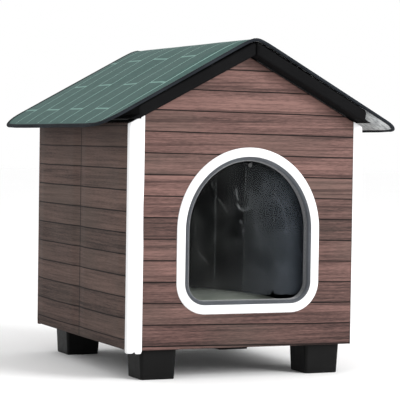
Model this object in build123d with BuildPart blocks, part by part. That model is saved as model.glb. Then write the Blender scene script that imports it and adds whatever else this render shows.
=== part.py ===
"""Foldable soft-sided cat house with a gabled roof, four feet and a clear strip door.

Millimetres, +Z up, front towards -Y, left towards -X. The origin is on the floor under the
middle of the roof. Walls and floor are foam boards in sewn fabric. The roof is two padded
boards under a printed cover, which folds at the ridge and grips the wall tops with hook tape.
"""
from build123d import *
from math import acos, cos, degrees, radians, sin, tan
import os

# Overall sizes of the house
house_width = 330.0
house_depth = 360.0
front_overhang = 22.0
rear_overhang = 42.0
foot_height = 40.0
ridge_apex = 439.5

# Wall build-up, from the outside in
cover_skin = 1.0
wall_board = 8.0
lining_skin = 1.0
side_fold_gap = 2.0

# Floor build-up, from the bottom up
base_skin = 1.0
floor_board_thickness = 8.0
floor_lining_skin = 1.0

# Roof cover, its bound edge and the padded boards below it
roof_pitch = 28.0
ridge_round = 10.0
slope_overhang = 23.0
lip_length = 26.0
lip_turn = 22.0
roof_cover_thickness = 2.0
roof_corner_radius = 30.0
roof_binding_thickness = 0.8
roof_binding_width = 4.0
sleeve_skin = 0.8
roof_board_thickness = 13.8
sleeve_wall_setback = 5.0
sleeve_edge_inset = 1.2
sleeve_end_lean = 3.0
sleeve_end_round = 6.0
seam_lip_reach = 8.5
seam_lip_height = 5.0
cover_ridge_split = 0.15
sleeve_ridge_split = 0.3
sleeve_ridge_ease = 4.0

# Hook and loop tape between the wall tops and the roof
tape_thickness = 0.8
tape_width = 8.0
tape_end_margin = 12.0
roof_rest_gap = 0.3

# Doorway: its finished opening, bound edge and white band
door_center_x = 2.5
door_half_width = 84.0
door_arch_rise = 152.0
door_arch_height = 90.0
door_sill_rise = 61.2
door_corner_radius = 23.0
edge_binding_thickness = 1.0
edge_binding_width = 5.4
edge_flange_thickness = 0.8
door_band_width = 12.0
door_band_thickness = 0.8

# White corner trims, each one strip folded round a front edge
corner_trim_width = 22.0
left_trim_on_front = 19.5
right_trim_on_front = 11.0
corner_trim_thickness = 0.8
corner_trim_round = 4.0

# Clear strip door
curtain_thickness = 1.0
curtain_wall_gap = 1.0
strip_pitch = 42.0
slit_width = 1.0
curtain_side_overlap = 8.0
strip_hinge_drop = 14.0
strip_hinge_gap = 0.8
strip_sill_gap = 5.0
strip_corner_radius = 6.0
header_rise = 22.0
header_corner_radius = 14.0
slit_rise = 4.0
header_tape_rise = 7.0
header_tape_height = 13.0
header_tape_length = 150.0
snap_radius = 3.25
snap_stem_radius = 1.5
snap_head_height = 1.2
snap_side = 5.5
snap_drop = 5.5

# Loose padded mat
mat_wall_gap = 6.0
mat_crown = 54.0
mat_side_draw = 6.0
mat_corner_radius = 26.0
mat_corner_ease = 0.12
mat_foot_inset = 9.0
mat_waist = 17.0
mat_crown_half_width = 29.0
mat_side_levels = 3
mat_top_levels = 8

# Moulded feet with their screws and the nuts pressed into the floor board
foot_bottom_width = 46.5
foot_taper = 3.4
foot_side_inset = 47.5
foot_front_inset = 35.0
foot_rear_inset = 40.0
foot_edge_radius = 3.0
foot_rim_radius = 1.5
foot_wall = 3.0
foot_floor = 16.0
foot_boss_radius = 9.0
foot_rib = 2.0
foot_counterbore_depth = 12.0
screw_radius = 2.5
screw_clearance = 0.3
screw_head_radius = 4.75
screw_head_height = 3.5
screw_socket_radius = 1.7
screw_socket_sides = 6
screw_socket_depth = 2.0
screw_length = 34.0
nut_barrel_radius = 3.3
nut_flange_radius = 9.5
nut_flange_thickness = 1.2
nut_thread_clearance = 0.1

# Places that follow from the sizes
roof_length = house_depth + front_overhang + rear_overhang
roof_rear_y = roof_length / 2
front_y = front_overhang - roof_length / 2
rear_y = front_y + house_depth
middle_y = (front_y + rear_y) / 2
half_width = house_width / 2
wall_thickness = cover_skin + wall_board + lining_skin
board_half_width = half_width - cover_skin
inner_half_width = half_width - wall_thickness
inner_front_y = front_y + wall_thickness
inner_rear_y = rear_y - wall_thickness
wall_bottom = foot_height
board_bottom = wall_bottom + base_skin
floor_board_top = board_bottom + floor_board_thickness
floor_top = floor_board_top + floor_lining_skin

# Roof layers as offsets from the outer face of the cover, outward positive
pitch = radians(roof_pitch)
sleeve_top = -(roof_cover_thickness + roof_binding_thickness)
sleeve_underside = sleeve_top - 2 * sleeve_skin - roof_board_thickness
loop_underside = sleeve_underside - tape_thickness
hook_top = loop_underside - roof_rest_gap
wall_top = hook_top - tape_thickness

# Doorway levels and the plane of the strip door
arch_z = wall_bottom + door_arch_rise
crown_z = arch_z + door_arch_height
sill_z = wall_bottom + door_sill_rise
curtain_front_y = inner_front_y + edge_flange_thickness + curtain_wall_gap
curtain_rear_y = curtain_front_y + curtain_thickness
curtain_half_width = door_half_width + curtain_side_overlap
strip_hinge_z = crown_z - strip_hinge_drop


def upright(y):
    """Upright plane facing the front at the given depth."""
    return Plane.XZ.offset(-y)


def roof_height(offset, x):
    """Height at x of the sloping roof plane that lies offset from the cover's outer face."""
    return ridge_apex + offset / cos(pitch) - abs(x) * tan(pitch)


# Roof cover: a layer that follows the rounded ridge, the slope and the curled eave
slope_angle = 90 - roof_pitch
ridge_center = (0, ridge_apex - ridge_round / cos(pitch))
lip_radius = lip_length / radians(lip_turn)
lip_start_x = half_width + slope_overhang
lip_center_x = lip_start_x - lip_radius * sin(pitch)
lip_center = (lip_center_x, roof_height(0, lip_start_x) - lip_radius * cos(pitch))


def eave_x(offset, reach):
    """Distance of the eave's tip from the ridge, for a layer that reaches past the cover."""
    tip_angle = radians(slope_angle - lip_turn) - reach / lip_radius
    return lip_center_x + (lip_radius + offset) * cos(tip_angle)


def roof_layer(outer, inner, reach):
    """Section of the right slope between two offsets, reaching past the cover's tip."""
    outer_round = ridge_round + outer
    inner_round = ridge_round + inner
    outer_start = degrees(acos(cover_ridge_split / outer_round))
    inner_start = degrees(acos(cover_ridge_split / inner_round))
    curl = lip_turn + degrees(reach / lip_radius)
    with BuildSketch(upright(roof_rear_y)) as section:
        with BuildLine():
            outer_ridge = CenterArc(ridge_center, outer_round, outer_start, slope_angle - outer_start)
            outer_lip = CenterArc(lip_center, lip_radius + outer, slope_angle, -curl)
            inner_lip = CenterArc(lip_center, lip_radius + inner, slope_angle - curl, curl)
            inner_ridge = CenterArc(ridge_center, inner_round, slope_angle, inner_start - slope_angle)
            Line(outer_ridge @ 1, outer_lip @ 0)
            Line(outer_lip @ 1, inner_lip @ 0)
            Line(inner_lip @ 1, inner_ridge @ 0)
            Line(inner_ridge @ 1, outer_ridge @ 0)
        make_face()
    return section.sketch


def roof_plan(half_x, inset, corner_radius):
    """Plan of the whole roof with rounded corners, inset from the front and rear edges."""
    with BuildSketch(Plane.XY) as plan:
        RectangleRounded(2 * half_x, roof_length - 2 * inset, corner_radius)
    return plan.sketch


with BuildPart() as roof_cover_right:
    extrude(roof_layer(0, -roof_cover_thickness, 0), amount=roof_length)
    cover_plan = roof_plan(eave_x(0, 0), roof_binding_thickness, roof_corner_radius)
    extrude(cover_plan, amount=2 * ridge_apex, mode=Mode.INTERSECT)

# Binding: a channel of tape folded over the free edges of the cover
with BuildPart() as roof_binding_right:
    binding_layer = roof_layer(roof_binding_thickness, sleeve_top, roof_binding_thickness)
    extrude(binding_layer, amount=roof_length)
    binding_tip_x = eave_x(roof_binding_thickness, roof_binding_thickness)
    binding_plan = roof_plan(binding_tip_x, 0, roof_corner_radius + roof_binding_thickness)
    extrude(binding_plan, amount=2 * ridge_apex, mode=Mode.INTERSECT)
    binding_window = roof_plan(
        eave_x(0, 0) - roof_binding_width,
        roof_binding_width,
        roof_corner_radius + roof_binding_thickness - roof_binding_width,
    )
    extrude(binding_window, amount=2 * ridge_apex, mode=Mode.SUBTRACT)
    add(roof_cover_right.part, mode=Mode.SUBTRACT)

# Padded roof boards: foam in a black sleeve, mitred at the ridge and rounded at the eave end
sleeve_reach = half_width - sleeve_wall_setback
sleeve_end_x = sleeve_reach + sleeve_end_lean
sleeve_rear_y = roof_rear_y - sleeve_edge_inset
sleeve_length = roof_length - 2 * sleeve_edge_inset


def sleeve_profile(skin, y):
    """Section of a roof board, inset by the skin from the outside of its sleeve."""
    top = sleeve_top - skin
    underside = sleeve_underside + skin
    ridge_x = sleeve_ridge_split + skin
    ease_x = ridge_x + sleeve_ridge_ease
    end_x = sleeve_end_x - skin
    heel_x = sleeve_reach - skin
    with BuildSketch(upright(y)) as profile:
        with BuildLine():
            Polyline(
                (ridge_x, roof_height(underside, ridge_x)),
                (ridge_x, roof_height(top, ease_x)),
                (ease_x, roof_height(top, ease_x)),
                (end_x, roof_height(top, end_x)),
                (heel_x, roof_height(underside, heel_x)),
                close=True,
            )
        make_face()
        fillet(profile.vertices().sort_by(Axis.X)[-1], sleeve_end_round - skin)
    return profile.sketch


with BuildPart() as roof_board_right:
    board_profile = sleeve_profile(sleeve_skin, sleeve_rear_y - sleeve_skin)
    extrude(board_profile, amount=sleeve_length - 2 * sleeve_skin)

with BuildPart() as roof_sleeve_right:
    extrude(sleeve_profile(0, sleeve_rear_y), amount=sleeve_length)
    heel_z = roof_height(sleeve_underside, sleeve_reach)
    with BuildSketch(upright(sleeve_rear_y)) as seam_lip:
        with BuildLine():
            Polyline(
                (sleeve_reach, heel_z),
                (sleeve_reach + seam_lip_reach, heel_z),
                (sleeve_reach + sleeve_skin, heel_z + seam_lip_height),
                (sleeve_reach - sleeve_skin, heel_z + seam_lip_height),
                close=True,
            )
        make_face()
    extrude(amount=sleeve_length)
    add(roof_board_right.part, mode=Mode.SUBTRACT)


# Hook and loop tape: up both rakes of the gable walls and along the side wall
def slope_bar(outer, inner, x_start, x_end, y):
    """Section of a bar between two roof planes, with upright ends."""
    with BuildSketch(upright(y)) as section:
        with BuildLine():
            Polyline(
                (x_start, roof_height(outer, x_start)),
                (x_end, roof_height(outer, x_end)),
                (x_end, roof_height(inner, x_end)),
                (x_start, roof_height(inner, x_start)),
                close=True,
            )
        make_face()
    return section.sketch


rake_tape_end = inner_half_width - tape_end_margin
front_tape_rear_y = front_y + (wall_thickness + tape_width) / 2
rear_tape_rear_y = rear_y - (wall_thickness - tape_width) / 2
side_tape_rear_y = inner_rear_y - tape_end_margin
side_tape_length = inner_rear_y - inner_front_y - 2 * tape_end_margin
side_tape_end = sleeve_reach - tape_thickness


def tape_runs(outer, inner):
    """The three tapes under the right slope, between two roof planes."""
    rake = slope_bar(outer, inner, tape_end_margin, rake_tape_end, 0)
    extrude(rake.moved(Location((0, front_tape_rear_y, 0))), amount=tape_width)
    extrude(rake.moved(Location((0, rear_tape_rear_y, 0))), amount=tape_width)
    side = slope_bar(outer, inner, inner_half_width, side_tape_end, side_tape_rear_y)
    extrude(side, amount=side_tape_length)


with BuildPart() as roof_loop_tapes_right:
    tape_runs(sleeve_underside, loop_underside)

with BuildPart() as wall_hook_tapes_right:
    tape_runs(hook_top, wall_top)


# Walls
def gable_outline(side, bottom, y):
    """Front or rear wall outline of the given half width, up to the wall tops."""
    with BuildSketch(upright(y)) as outline:
        with BuildLine():
            Polyline(
                (-side, bottom),
                (side, bottom),
                (side, roof_height(wall_top, side)),
                (0, roof_height(wall_top, 0)),
                (-side, roof_height(wall_top, side)),
                close=True,
            )
        make_face()
    return outline.sketch


def door_outline(grow, y):
    """Doorway grown outward from its finished edge: flat sill, upright sides, elliptical arch."""
    reach = door_half_width + grow
    foot = sill_z - grow
    corner = door_corner_radius + grow
    left = door_center_x - reach
    right = door_center_x + reach
    with BuildSketch(upright(y)) as outline:
        with BuildLine():
            EllipticalCenterArc((door_center_x, arch_z), reach, door_arch_height + grow, arc_size=180)
            FilletPolyline((left, arch_z), (left, foot), (right, foot), (right, arch_z), radius=corner)
        make_face()
    return outline.sketch


def door_cut(y, depth):
    """Cuts the doorway through a layer of the front wall, leaving room for its bound edge."""
    extrude(door_outline(edge_binding_thickness, y), amount=depth, mode=Mode.SUBTRACT)


with BuildPart() as front_cover:
    extrude(gable_outline(half_width, wall_bottom, front_y + cover_skin), amount=cover_skin)
    door_cut(front_y + cover_skin, cover_skin)

with BuildPart() as front_board:
    extrude(gable_outline(board_half_width, board_bottom, inner_front_y - lining_skin), amount=wall_board)
    door_cut(inner_front_y - lining_skin, wall_board)

with BuildPart() as front_lining:
    extrude(gable_outline(board_half_width, board_bottom, inner_front_y), amount=lining_skin)
    door_cut(inner_front_y, lining_skin)

with BuildPart() as rear_cover:
    extrude(gable_outline(half_width, wall_bottom, rear_y), amount=cover_skin)

with BuildPart() as rear_board:
    extrude(gable_outline(board_half_width, board_bottom, rear_y - cover_skin), amount=wall_board)

with BuildPart() as rear_lining:
    extrude(gable_outline(board_half_width, board_bottom, inner_rear_y + lining_skin), amount=lining_skin)


def side_section(inner_x, outer_x, bottom, y):
    """Section of a layer of the right side wall, cut to the roof slope at its top."""
    with BuildSketch(upright(y)) as section:
        with BuildLine():
            Polyline(
                (inner_x, bottom),
                (outer_x, bottom),
                (outer_x, roof_height(wall_top, outer_x)),
                (inner_x, roof_height(wall_top, inner_x)),
                close=True,
            )
        make_face()
    return section.sketch


# Side walls: the cover runs from corner to corner, the board is in two leaves that fold
lined_half_width = inner_half_width + lining_skin
fold_front_y = middle_y - side_fold_gap / 2
fold_rear_y = middle_y + side_fold_gap / 2
with BuildPart() as right_cover:
    cover_section = side_section(board_half_width, half_width, wall_bottom, rear_y - cover_skin)
    extrude(cover_section, amount=house_depth - 2 * cover_skin)

with BuildPart() as right_front_leaf:
    leaf_section = side_section(lined_half_width, board_half_width, board_bottom, fold_front_y)
    extrude(leaf_section, amount=fold_front_y - inner_front_y)

with BuildPart() as right_rear_leaf:
    leaf_section = side_section(lined_half_width, board_half_width, board_bottom, inner_rear_y)
    extrude(leaf_section, amount=inner_rear_y - fold_rear_y)

with BuildPart() as right_lining:
    lining_section = side_section(inner_half_width, lined_half_width, board_bottom, inner_rear_y)
    extrude(lining_section, amount=inner_rear_y - inner_front_y)

# White band and bound edge of the doorway
with BuildPart() as door_frame_band:
    extrude(door_outline(edge_binding_width + door_band_width, front_y), amount=door_band_thickness)
    extrude(door_outline(edge_binding_width, front_y), amount=door_band_thickness, mode=Mode.SUBTRACT)

with BuildPart() as door_edge_binding:
    flange_y = inner_front_y + edge_flange_thickness
    flange_depth = wall_thickness + 2 * edge_flange_thickness
    extrude(door_outline(edge_binding_width, flange_y), amount=flange_depth)
    extrude(door_outline(0, flange_y), amount=flange_depth, mode=Mode.SUBTRACT)
    wall_outline = gable_outline(half_width, wall_bottom, inner_front_y)
    extrude(wall_outline, amount=wall_thickness, mode=Mode.SUBTRACT)
    extrude(door_outline(edge_binding_thickness, inner_front_y), amount=wall_thickness)
    extrude(door_outline(0, inner_front_y), amount=wall_thickness, mode=Mode.SUBTRACT)


# White corner trims: one strip folded round each front edge, its lower end rounded
def corner_trim(on_front):
    """Trim of the right front edge, with the given width on the front wall."""
    on_side = corner_trim_width - on_front
    trim_top = roof_height(wall_top, half_width + corner_trim_thickness)
    outer_x = half_width + corner_trim_thickness
    outer_y = front_y - corner_trim_thickness
    with BuildPart() as trim:
        with BuildSketch(Plane.XY.offset(wall_bottom)):
            with BuildLine():
                Polyline(
                    (outer_x, front_y + on_side),
                    (outer_x, outer_y),
                    (half_width - on_front, outer_y),
                    (half_width - on_front, front_y),
                    (half_width, front_y),
                    (half_width, front_y + on_side),
                    close=True,
                )
            make_face()
        extrude(amount=trim_top - wall_bottom)
        foot_corner = trim.edges().filter_by(Axis.Y).group_by(Axis.Z)[0].sort_by(Axis.X)[0]
        fillet(foot_corner, corner_trim_round)
    return trim.part


with BuildPart() as corner_trim_right:
    add(corner_trim(right_trim_on_front))

with BuildPart() as corner_trim_left:
    mirror(corner_trim(left_trim_on_front), about=Plane.YZ)

# Floor: fabric underneath, a board with room for the nuts, and a lining on top
foot_x = half_width - foot_side_inset
foot_front_y = front_y + foot_front_inset
foot_rear_y = rear_y - foot_rear_inset
foot_places = {
    "foot_front_left": (-foot_x, foot_front_y),
    "foot_front_right": (foot_x, foot_front_y),
    "foot_rear_left": (-foot_x, foot_rear_y),
    "foot_rear_right": (foot_x, foot_rear_y),
}
foot_locations = list(foot_places.values())


def floor_slab(half_x, y_start, y_end, bottom):
    """Plan rectangle of a floor layer on the plane of its underside."""
    with BuildSketch(Plane.XY.offset(bottom)) as slab:
        with Locations((0, (y_start + y_end) / 2)):
            Rectangle(2 * half_x, y_end - y_start)
    return slab.sketch


with BuildPart() as base_cover:
    base_sheet = floor_slab(board_half_width, front_y + cover_skin, rear_y - cover_skin, wall_bottom)
    extrude(base_sheet, amount=base_skin)
    with Locations(Plane.XY.offset(board_bottom)):
        with Locations(foot_locations):
            Hole(screw_radius + screw_clearance)

with BuildPart() as floor_board:
    board_sheet = floor_slab(inner_half_width, inner_front_y, inner_rear_y, board_bottom)
    extrude(board_sheet, amount=floor_board_thickness)
    with Locations(Plane.XY.offset(floor_board_top)):
        with Locations(foot_locations):
            CounterBoreHole(nut_barrel_radius, nut_flange_radius, nut_flange_thickness)

with BuildPart() as floor_lining:
    lining_sheet = floor_slab(inner_half_width, inner_front_y, inner_rear_y, floor_board_top)
    extrude(lining_sheet, amount=floor_lining_skin)


# Loose mat: a padded cushion, crowned on top and drawn in along its sides
mat_half_width = inner_half_width - mat_wall_gap
mat_half_depth = (inner_rear_y - inner_front_y) / 2 - mat_wall_gap
mat_top_inset = mat_half_width - mat_crown_half_width


def mat_slice(inset, height):
    """Level slice of the mat: four bowed sides that meet in rounded corners."""
    half_x = mat_half_width - inset
    half_y = mat_half_depth - inset
    draw = mat_side_draw * (1 - inset * mat_corner_ease / mat_corner_radius)
    corners = [(half_x, half_y), (-half_x, half_y), (-half_x, -half_y), (half_x, -half_y)]
    waists = [(0, half_y - draw), (draw - half_x, 0), (0, draw - half_y), (half_x - draw, 0)]
    with BuildSketch(Plane(origin=(0, middle_y, floor_top + height))) as level:
        with BuildLine():
            for start, waist, end in zip(corners, waists, corners[1:] + corners[:1]):
                ThreePointArc(start, waist, end)
        make_face()
        fillet(level.vertices(), mat_corner_radius - inset * mat_corner_ease)
    return level.sketch


mat_levels = []
for step in range(mat_side_levels):
    turn = radians(90 * step / mat_side_levels)
    mat_levels.append((mat_foot_inset * (1 - sin(turn)), mat_waist * (1 - cos(turn))))
for step in range(mat_top_levels + 1):
    turn = radians(90 * step / mat_top_levels)
    mat_levels.append(
        (mat_top_inset * (1 - cos(turn)), mat_waist + (mat_crown - mat_waist) * sin(turn))
    )
with BuildPart() as floor_mat:
    loft([mat_slice(inset, height) for inset, height in mat_levels], ruled=True)

# Clear strip door: a slit sheet taped above the arch, hinging at the top of its strips
strip_middle_y = (curtain_front_y + curtain_rear_y) / 2
header_bottom = strip_hinge_z + strip_hinge_gap
header_top = crown_z + header_rise
slit_top = crown_z + slit_rise
slit_places = [door_center_x - strip_pitch, door_center_x, door_center_x + strip_pitch]
snap_x = door_center_x + snap_side
snap_z = crown_z - snap_drop

with BuildPart() as curtain_header:
    with BuildSketch(upright(curtain_rear_y)) as header_sheet:
        with Locations((door_center_x, (header_bottom + header_top) / 2)):
            Rectangle(2 * curtain_half_width, header_top - header_bottom)
        fillet(header_sheet.vertices().group_by(Axis.Y)[-1], header_corner_radius)
        with Locations([(slit_x, (header_bottom + slit_top) / 2) for slit_x in slit_places]):
            Rectangle(slit_width, slit_top - header_bottom, mode=Mode.SUBTRACT)
        with Locations((snap_x, snap_z)):
            Circle(snap_stem_radius, mode=Mode.SUBTRACT)
    extrude(amount=curtain_thickness)

with BuildPart() as curtain_snap:
    with BuildSketch(upright(curtain_rear_y + snap_head_height)):
        with Locations((snap_x, snap_z)):
            Circle(snap_radius)
    extrude(amount=snap_head_height)
    with BuildSketch(upright(curtain_rear_y)):
        with Locations((snap_x, snap_z)):
            Circle(snap_stem_radius)
    extrude(amount=curtain_thickness)
    with BuildSketch(upright(curtain_front_y)):
        with Locations((snap_x, snap_z)):
            Circle(snap_radius)
    extrude(amount=snap_head_height)
    snap_rims = curtain_snap.edges().filter_by(GeomType.CIRCLE).sort_by(Axis.Y)
    fillet([snap_rims[0], snap_rims[-1]], snap_head_height / 2)

with BuildPart() as header_tape:
    with BuildSketch(upright(curtain_front_y)):
        with Locations((door_center_x, crown_z + header_tape_rise + header_tape_height / 2)):
            SlotOverall(header_tape_length, header_tape_height)
    extrude(amount=curtain_front_y - inner_front_y)

strip_edges = [
    (door_center_x - curtain_half_width, slit_places[0] - slit_width / 2),
    (slit_places[0] + slit_width / 2, slit_places[1] - slit_width / 2),
    (slit_places[1] + slit_width / 2, slit_places[2] - slit_width / 2),
    (slit_places[2] + slit_width / 2, door_center_x + curtain_half_width),
]
strip_bottom = sill_z + strip_sill_gap
strips = {}
for number, (strip_left, strip_right) in enumerate(strip_edges, start=1):
    with BuildPart() as strip:
        with BuildSketch(upright(curtain_rear_y)) as strip_sheet:
            with Locations(((strip_left + strip_right) / 2, (strip_bottom + strip_hinge_z) / 2)):
                Rectangle(strip_right - strip_left, strip_hinge_z - strip_bottom)
            fillet(strip_sheet.vertices().group_by(Axis.Y)[0], strip_corner_radius)
        extrude(amount=curtain_thickness)
    strips[f"door_strip_{number}"] = strip

# Feet: tapered hollow mouldings with a ribbed boss for the screw
with BuildPart() as foot_moulding:
    with BuildSketch(Plane.XY):
        RectangleRounded(foot_bottom_width, foot_bottom_width, foot_edge_radius)
    extrude(amount=foot_height, taper=-foot_taper)
    fillet(foot_moulding.faces().sort_by(Axis.Z)[0].edges(), foot_rim_radius)
    cavity_width = foot_bottom_width + 2 * foot_floor * tan(radians(foot_taper)) - 2 * foot_wall
    with BuildSketch(Plane.XY.offset(foot_floor)):
        Rectangle(cavity_width, cavity_width)
    extrude(amount=foot_height - foot_floor, taper=-foot_taper, mode=Mode.SUBTRACT)
    with BuildSketch(Plane.XY.offset(foot_floor)):
        Circle(foot_boss_radius)
        Rectangle(cavity_width, foot_rib)
        Rectangle(foot_rib, cavity_width)
    extrude(amount=foot_height - foot_floor)
    with Locations(Plane.XY.rotated((180, 0, 0))):
        CounterBoreHole(
            screw_radius + screw_clearance,
            screw_head_radius + screw_clearance,
            foot_counterbore_depth,
            depth=foot_height,
        )

feet = {}
for label, place in foot_places.items():
    with BuildPart() as foot:
        with Locations(place):
            add(foot_moulding.part)
    feet[label] = foot

# Screws up through the feet and the flanged nuts that hold them
with BuildPart() as foot_screws:
    with Locations([(x, y, foot_counterbore_depth) for x, y in foot_locations]):
        Cylinder(screw_radius, screw_length, align=(Align.CENTER, Align.CENTER, Align.MIN))
        Cylinder(
            screw_head_radius,
            screw_head_height,
            align=(Align.CENTER, Align.CENTER, Align.MAX),
        )
    with BuildSketch(Plane.XY.offset(foot_counterbore_depth - screw_head_height)):
        with Locations(foot_locations):
            RegularPolygon(screw_socket_radius, screw_socket_sides)
    extrude(amount=screw_socket_depth, mode=Mode.SUBTRACT)

with BuildPart() as foot_nuts:
    with Locations([(x, y, board_bottom) for x, y in foot_locations]):
        Cylinder(
            nut_barrel_radius,
            floor_board_thickness,
            align=(Align.CENTER, Align.CENTER, Align.MIN),
        )
    with Locations([(x, y, floor_board_top) for x, y in foot_locations]):
        Cylinder(
            nut_flange_radius,
            nut_flange_thickness,
            align=(Align.CENTER, Align.CENTER, Align.MAX),
        )
        Hole(screw_radius + nut_thread_clearance)

# Left-hand pieces are the right-hand ones mirrored
mirrored_pieces = {
    "roof_cover_left": roof_cover_right,
    "roof_binding_left": roof_binding_right,
    "roof_board_left": roof_board_right,
    "roof_sleeve_left": roof_sleeve_right,
    "roof_loop_tapes_left": roof_loop_tapes_right,
    "wall_hook_tapes_left": wall_hook_tapes_right,
    "left_cover": right_cover,
    "left_front_leaf": right_front_leaf,
    "left_rear_leaf": right_rear_leaf,
    "left_lining": right_lining,
}

pieces = {
    "roof_cover_right": roof_cover_right,
    "roof_binding_right": roof_binding_right,
    "roof_board_right": roof_board_right,
    "roof_sleeve_right": roof_sleeve_right,
    "roof_loop_tapes_right": roof_loop_tapes_right,
    "wall_hook_tapes_right": wall_hook_tapes_right,
    "front_cover": front_cover,
    "front_board": front_board,
    "front_lining": front_lining,
    "rear_cover": rear_cover,
    "rear_board": rear_board,
    "rear_lining": rear_lining,
    "right_cover": right_cover,
    "right_front_leaf": right_front_leaf,
    "right_rear_leaf": right_rear_leaf,
    "right_lining": right_lining,
    "door_frame_band": door_frame_band,
    "door_edge_binding": door_edge_binding,
    "corner_trim_left": corner_trim_left,
    "corner_trim_right": corner_trim_right,
    "base_cover": base_cover,
    "floor_board": floor_board,
    "floor_lining": floor_lining,
    "floor_mat": floor_mat,
    "curtain_header": curtain_header,
    "curtain_snap": curtain_snap,
    "header_tape": header_tape,
    "foot_screws": foot_screws,
    "foot_nuts": foot_nuts,
}
pieces.update(strips)
pieces.update(feet)
for label, right_piece in mirrored_pieces.items():
    with BuildPart() as left_piece:
        mirror(right_piece.part, about=Plane.YZ)
    pieces[label] = left_piece

os.makedirs("parts", exist_ok=True)
for label, piece in pieces.items():
    piece.part.label = label
    export_step(piece.part, f"parts/{label}.step")

print("strip hinge height", round(strip_hinge_z, 2), "depth", round(strip_middle_y, 2))
print("roof fold axis height", round(roof_height(roof_binding_thickness, 0) + roof_rest_gap, 2))
print("eave tip distance", round(binding_tip_x, 2))
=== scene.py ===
# %% [markdown]
# # Dressing a foldable cat house
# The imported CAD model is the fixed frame: foam boards, feet, screws and the joints' bodies.
# This lesson makes the soft pieces round it as numpy surfaces and gives every surface a finish
# made of nodes. A part could be nudged until it fits the picture, but here each place is read
# from the frame, so the pieces fit each other from every side.

import bmesh
import bpy
import numpy as np
from mathutils import Matrix, Vector


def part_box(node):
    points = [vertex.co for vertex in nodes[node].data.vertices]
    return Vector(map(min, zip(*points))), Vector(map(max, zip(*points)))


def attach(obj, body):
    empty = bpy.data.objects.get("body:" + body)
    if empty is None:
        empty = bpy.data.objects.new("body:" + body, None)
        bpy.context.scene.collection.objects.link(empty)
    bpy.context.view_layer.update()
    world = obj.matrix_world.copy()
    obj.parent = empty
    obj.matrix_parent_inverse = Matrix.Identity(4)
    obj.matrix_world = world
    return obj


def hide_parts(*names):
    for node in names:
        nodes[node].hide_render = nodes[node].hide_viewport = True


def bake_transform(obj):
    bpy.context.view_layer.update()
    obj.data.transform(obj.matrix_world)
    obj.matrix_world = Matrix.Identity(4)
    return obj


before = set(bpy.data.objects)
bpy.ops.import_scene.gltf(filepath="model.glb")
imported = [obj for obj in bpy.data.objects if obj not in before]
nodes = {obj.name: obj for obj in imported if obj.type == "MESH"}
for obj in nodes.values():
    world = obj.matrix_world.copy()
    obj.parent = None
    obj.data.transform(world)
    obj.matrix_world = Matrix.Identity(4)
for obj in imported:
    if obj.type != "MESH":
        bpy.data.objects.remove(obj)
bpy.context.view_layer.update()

# %% [markdown]
# ## Sizes
# Sizes are in metres. Places that the CAD already fixes are read from the boxes of its nodes,
# and sizes that only the cloth has, such as how far a panel swells, are named here.

# %% Places read from the frame
mm = 0.001
front_low, front_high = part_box("front_cover")
side_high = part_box("left_cover")[1]
half_width = front_high.x
wall_bottom = front_low.z
gable_peak = front_high.z
front_y = front_low.y
rear_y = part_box("rear_cover")[1].y
middle_y = (front_y + rear_y) / 2
roof_tan = (gable_peak - side_high.z) / abs(side_high.x)
roof_pitch = np.arctan(roof_tan)
wall_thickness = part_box("front_lining")[1].y - front_y
print("wall", half_width, front_y, rear_y, "pitch", round(np.degrees(roof_pitch), 2))

# %% [markdown]
# ## The camera
# A scene can be seen from anywhere, so the camera comes first: it has the place, the turn and
# the long lens that the picture was taken with, worked out from the wall corners, the roof's
# edges and the printed plank lines.

# %% Camera at the picture's viewing angle
camera_place = np.array([-0.9959, -2.3504, 0.3089])
camera_yaw, camera_pitch, camera_roll = np.radians([23.26, -1.89, 0.86])
picture_width = 400
focal_pixels = 1831.4
sensor_width = 36.0

forward = np.array(
    [
        np.sin(camera_yaw) * np.cos(camera_pitch),
        np.cos(camera_yaw) * np.cos(camera_pitch),
        np.sin(camera_pitch),
    ]
)
level = np.array([np.cos(camera_yaw), -np.sin(camera_yaw), 0.0])
above = np.cross(level, forward)
right = np.cos(camera_roll) * level + np.sin(camera_roll) * above
up = np.cos(camera_roll) * above - np.sin(camera_roll) * level

camera_data = bpy.data.cameras.new("camera")
camera_data.sensor_width = sensor_width
camera_data.lens = focal_pixels * sensor_width / picture_width
camera_data.clip_end = 60
camera = bpy.data.objects.new("camera", camera_data)
bpy.context.scene.collection.objects.link(camera)
camera.matrix_world = Matrix(
    [[right[k], up[k], -forward[k], camera_place[k]] for k in range(3)] + [[0, 0, 0, 1]]
)
bpy.context.scene.camera = camera
print("lens", round(camera_data.lens, 1), "mm")

# %% [markdown]
# ## From arrays to meshes
# A cloth surface is a grid of points worked out from two parameters. Blender could build it
# with operators, but whole arrays are quicker and say the shape in one formula. A patch holds
# points and faces until all the patches of a piece are joined into one mesh.


# %% Patches of points and faces
class Patch:
    """Points, four-cornered faces, and each face's finish and corner places on the cloth."""

    def __init__(self, points, faces, finish=0, uv=None):
        self.points = np.asarray(points, float).reshape(-1, 3)
        self.faces = np.asarray(faces, int).reshape(-1, 4)
        self.finish = np.broadcast_to(finish, len(self.faces))
        self.uv = np.zeros((len(self.faces), 4, 2)) if uv is None else uv


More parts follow.
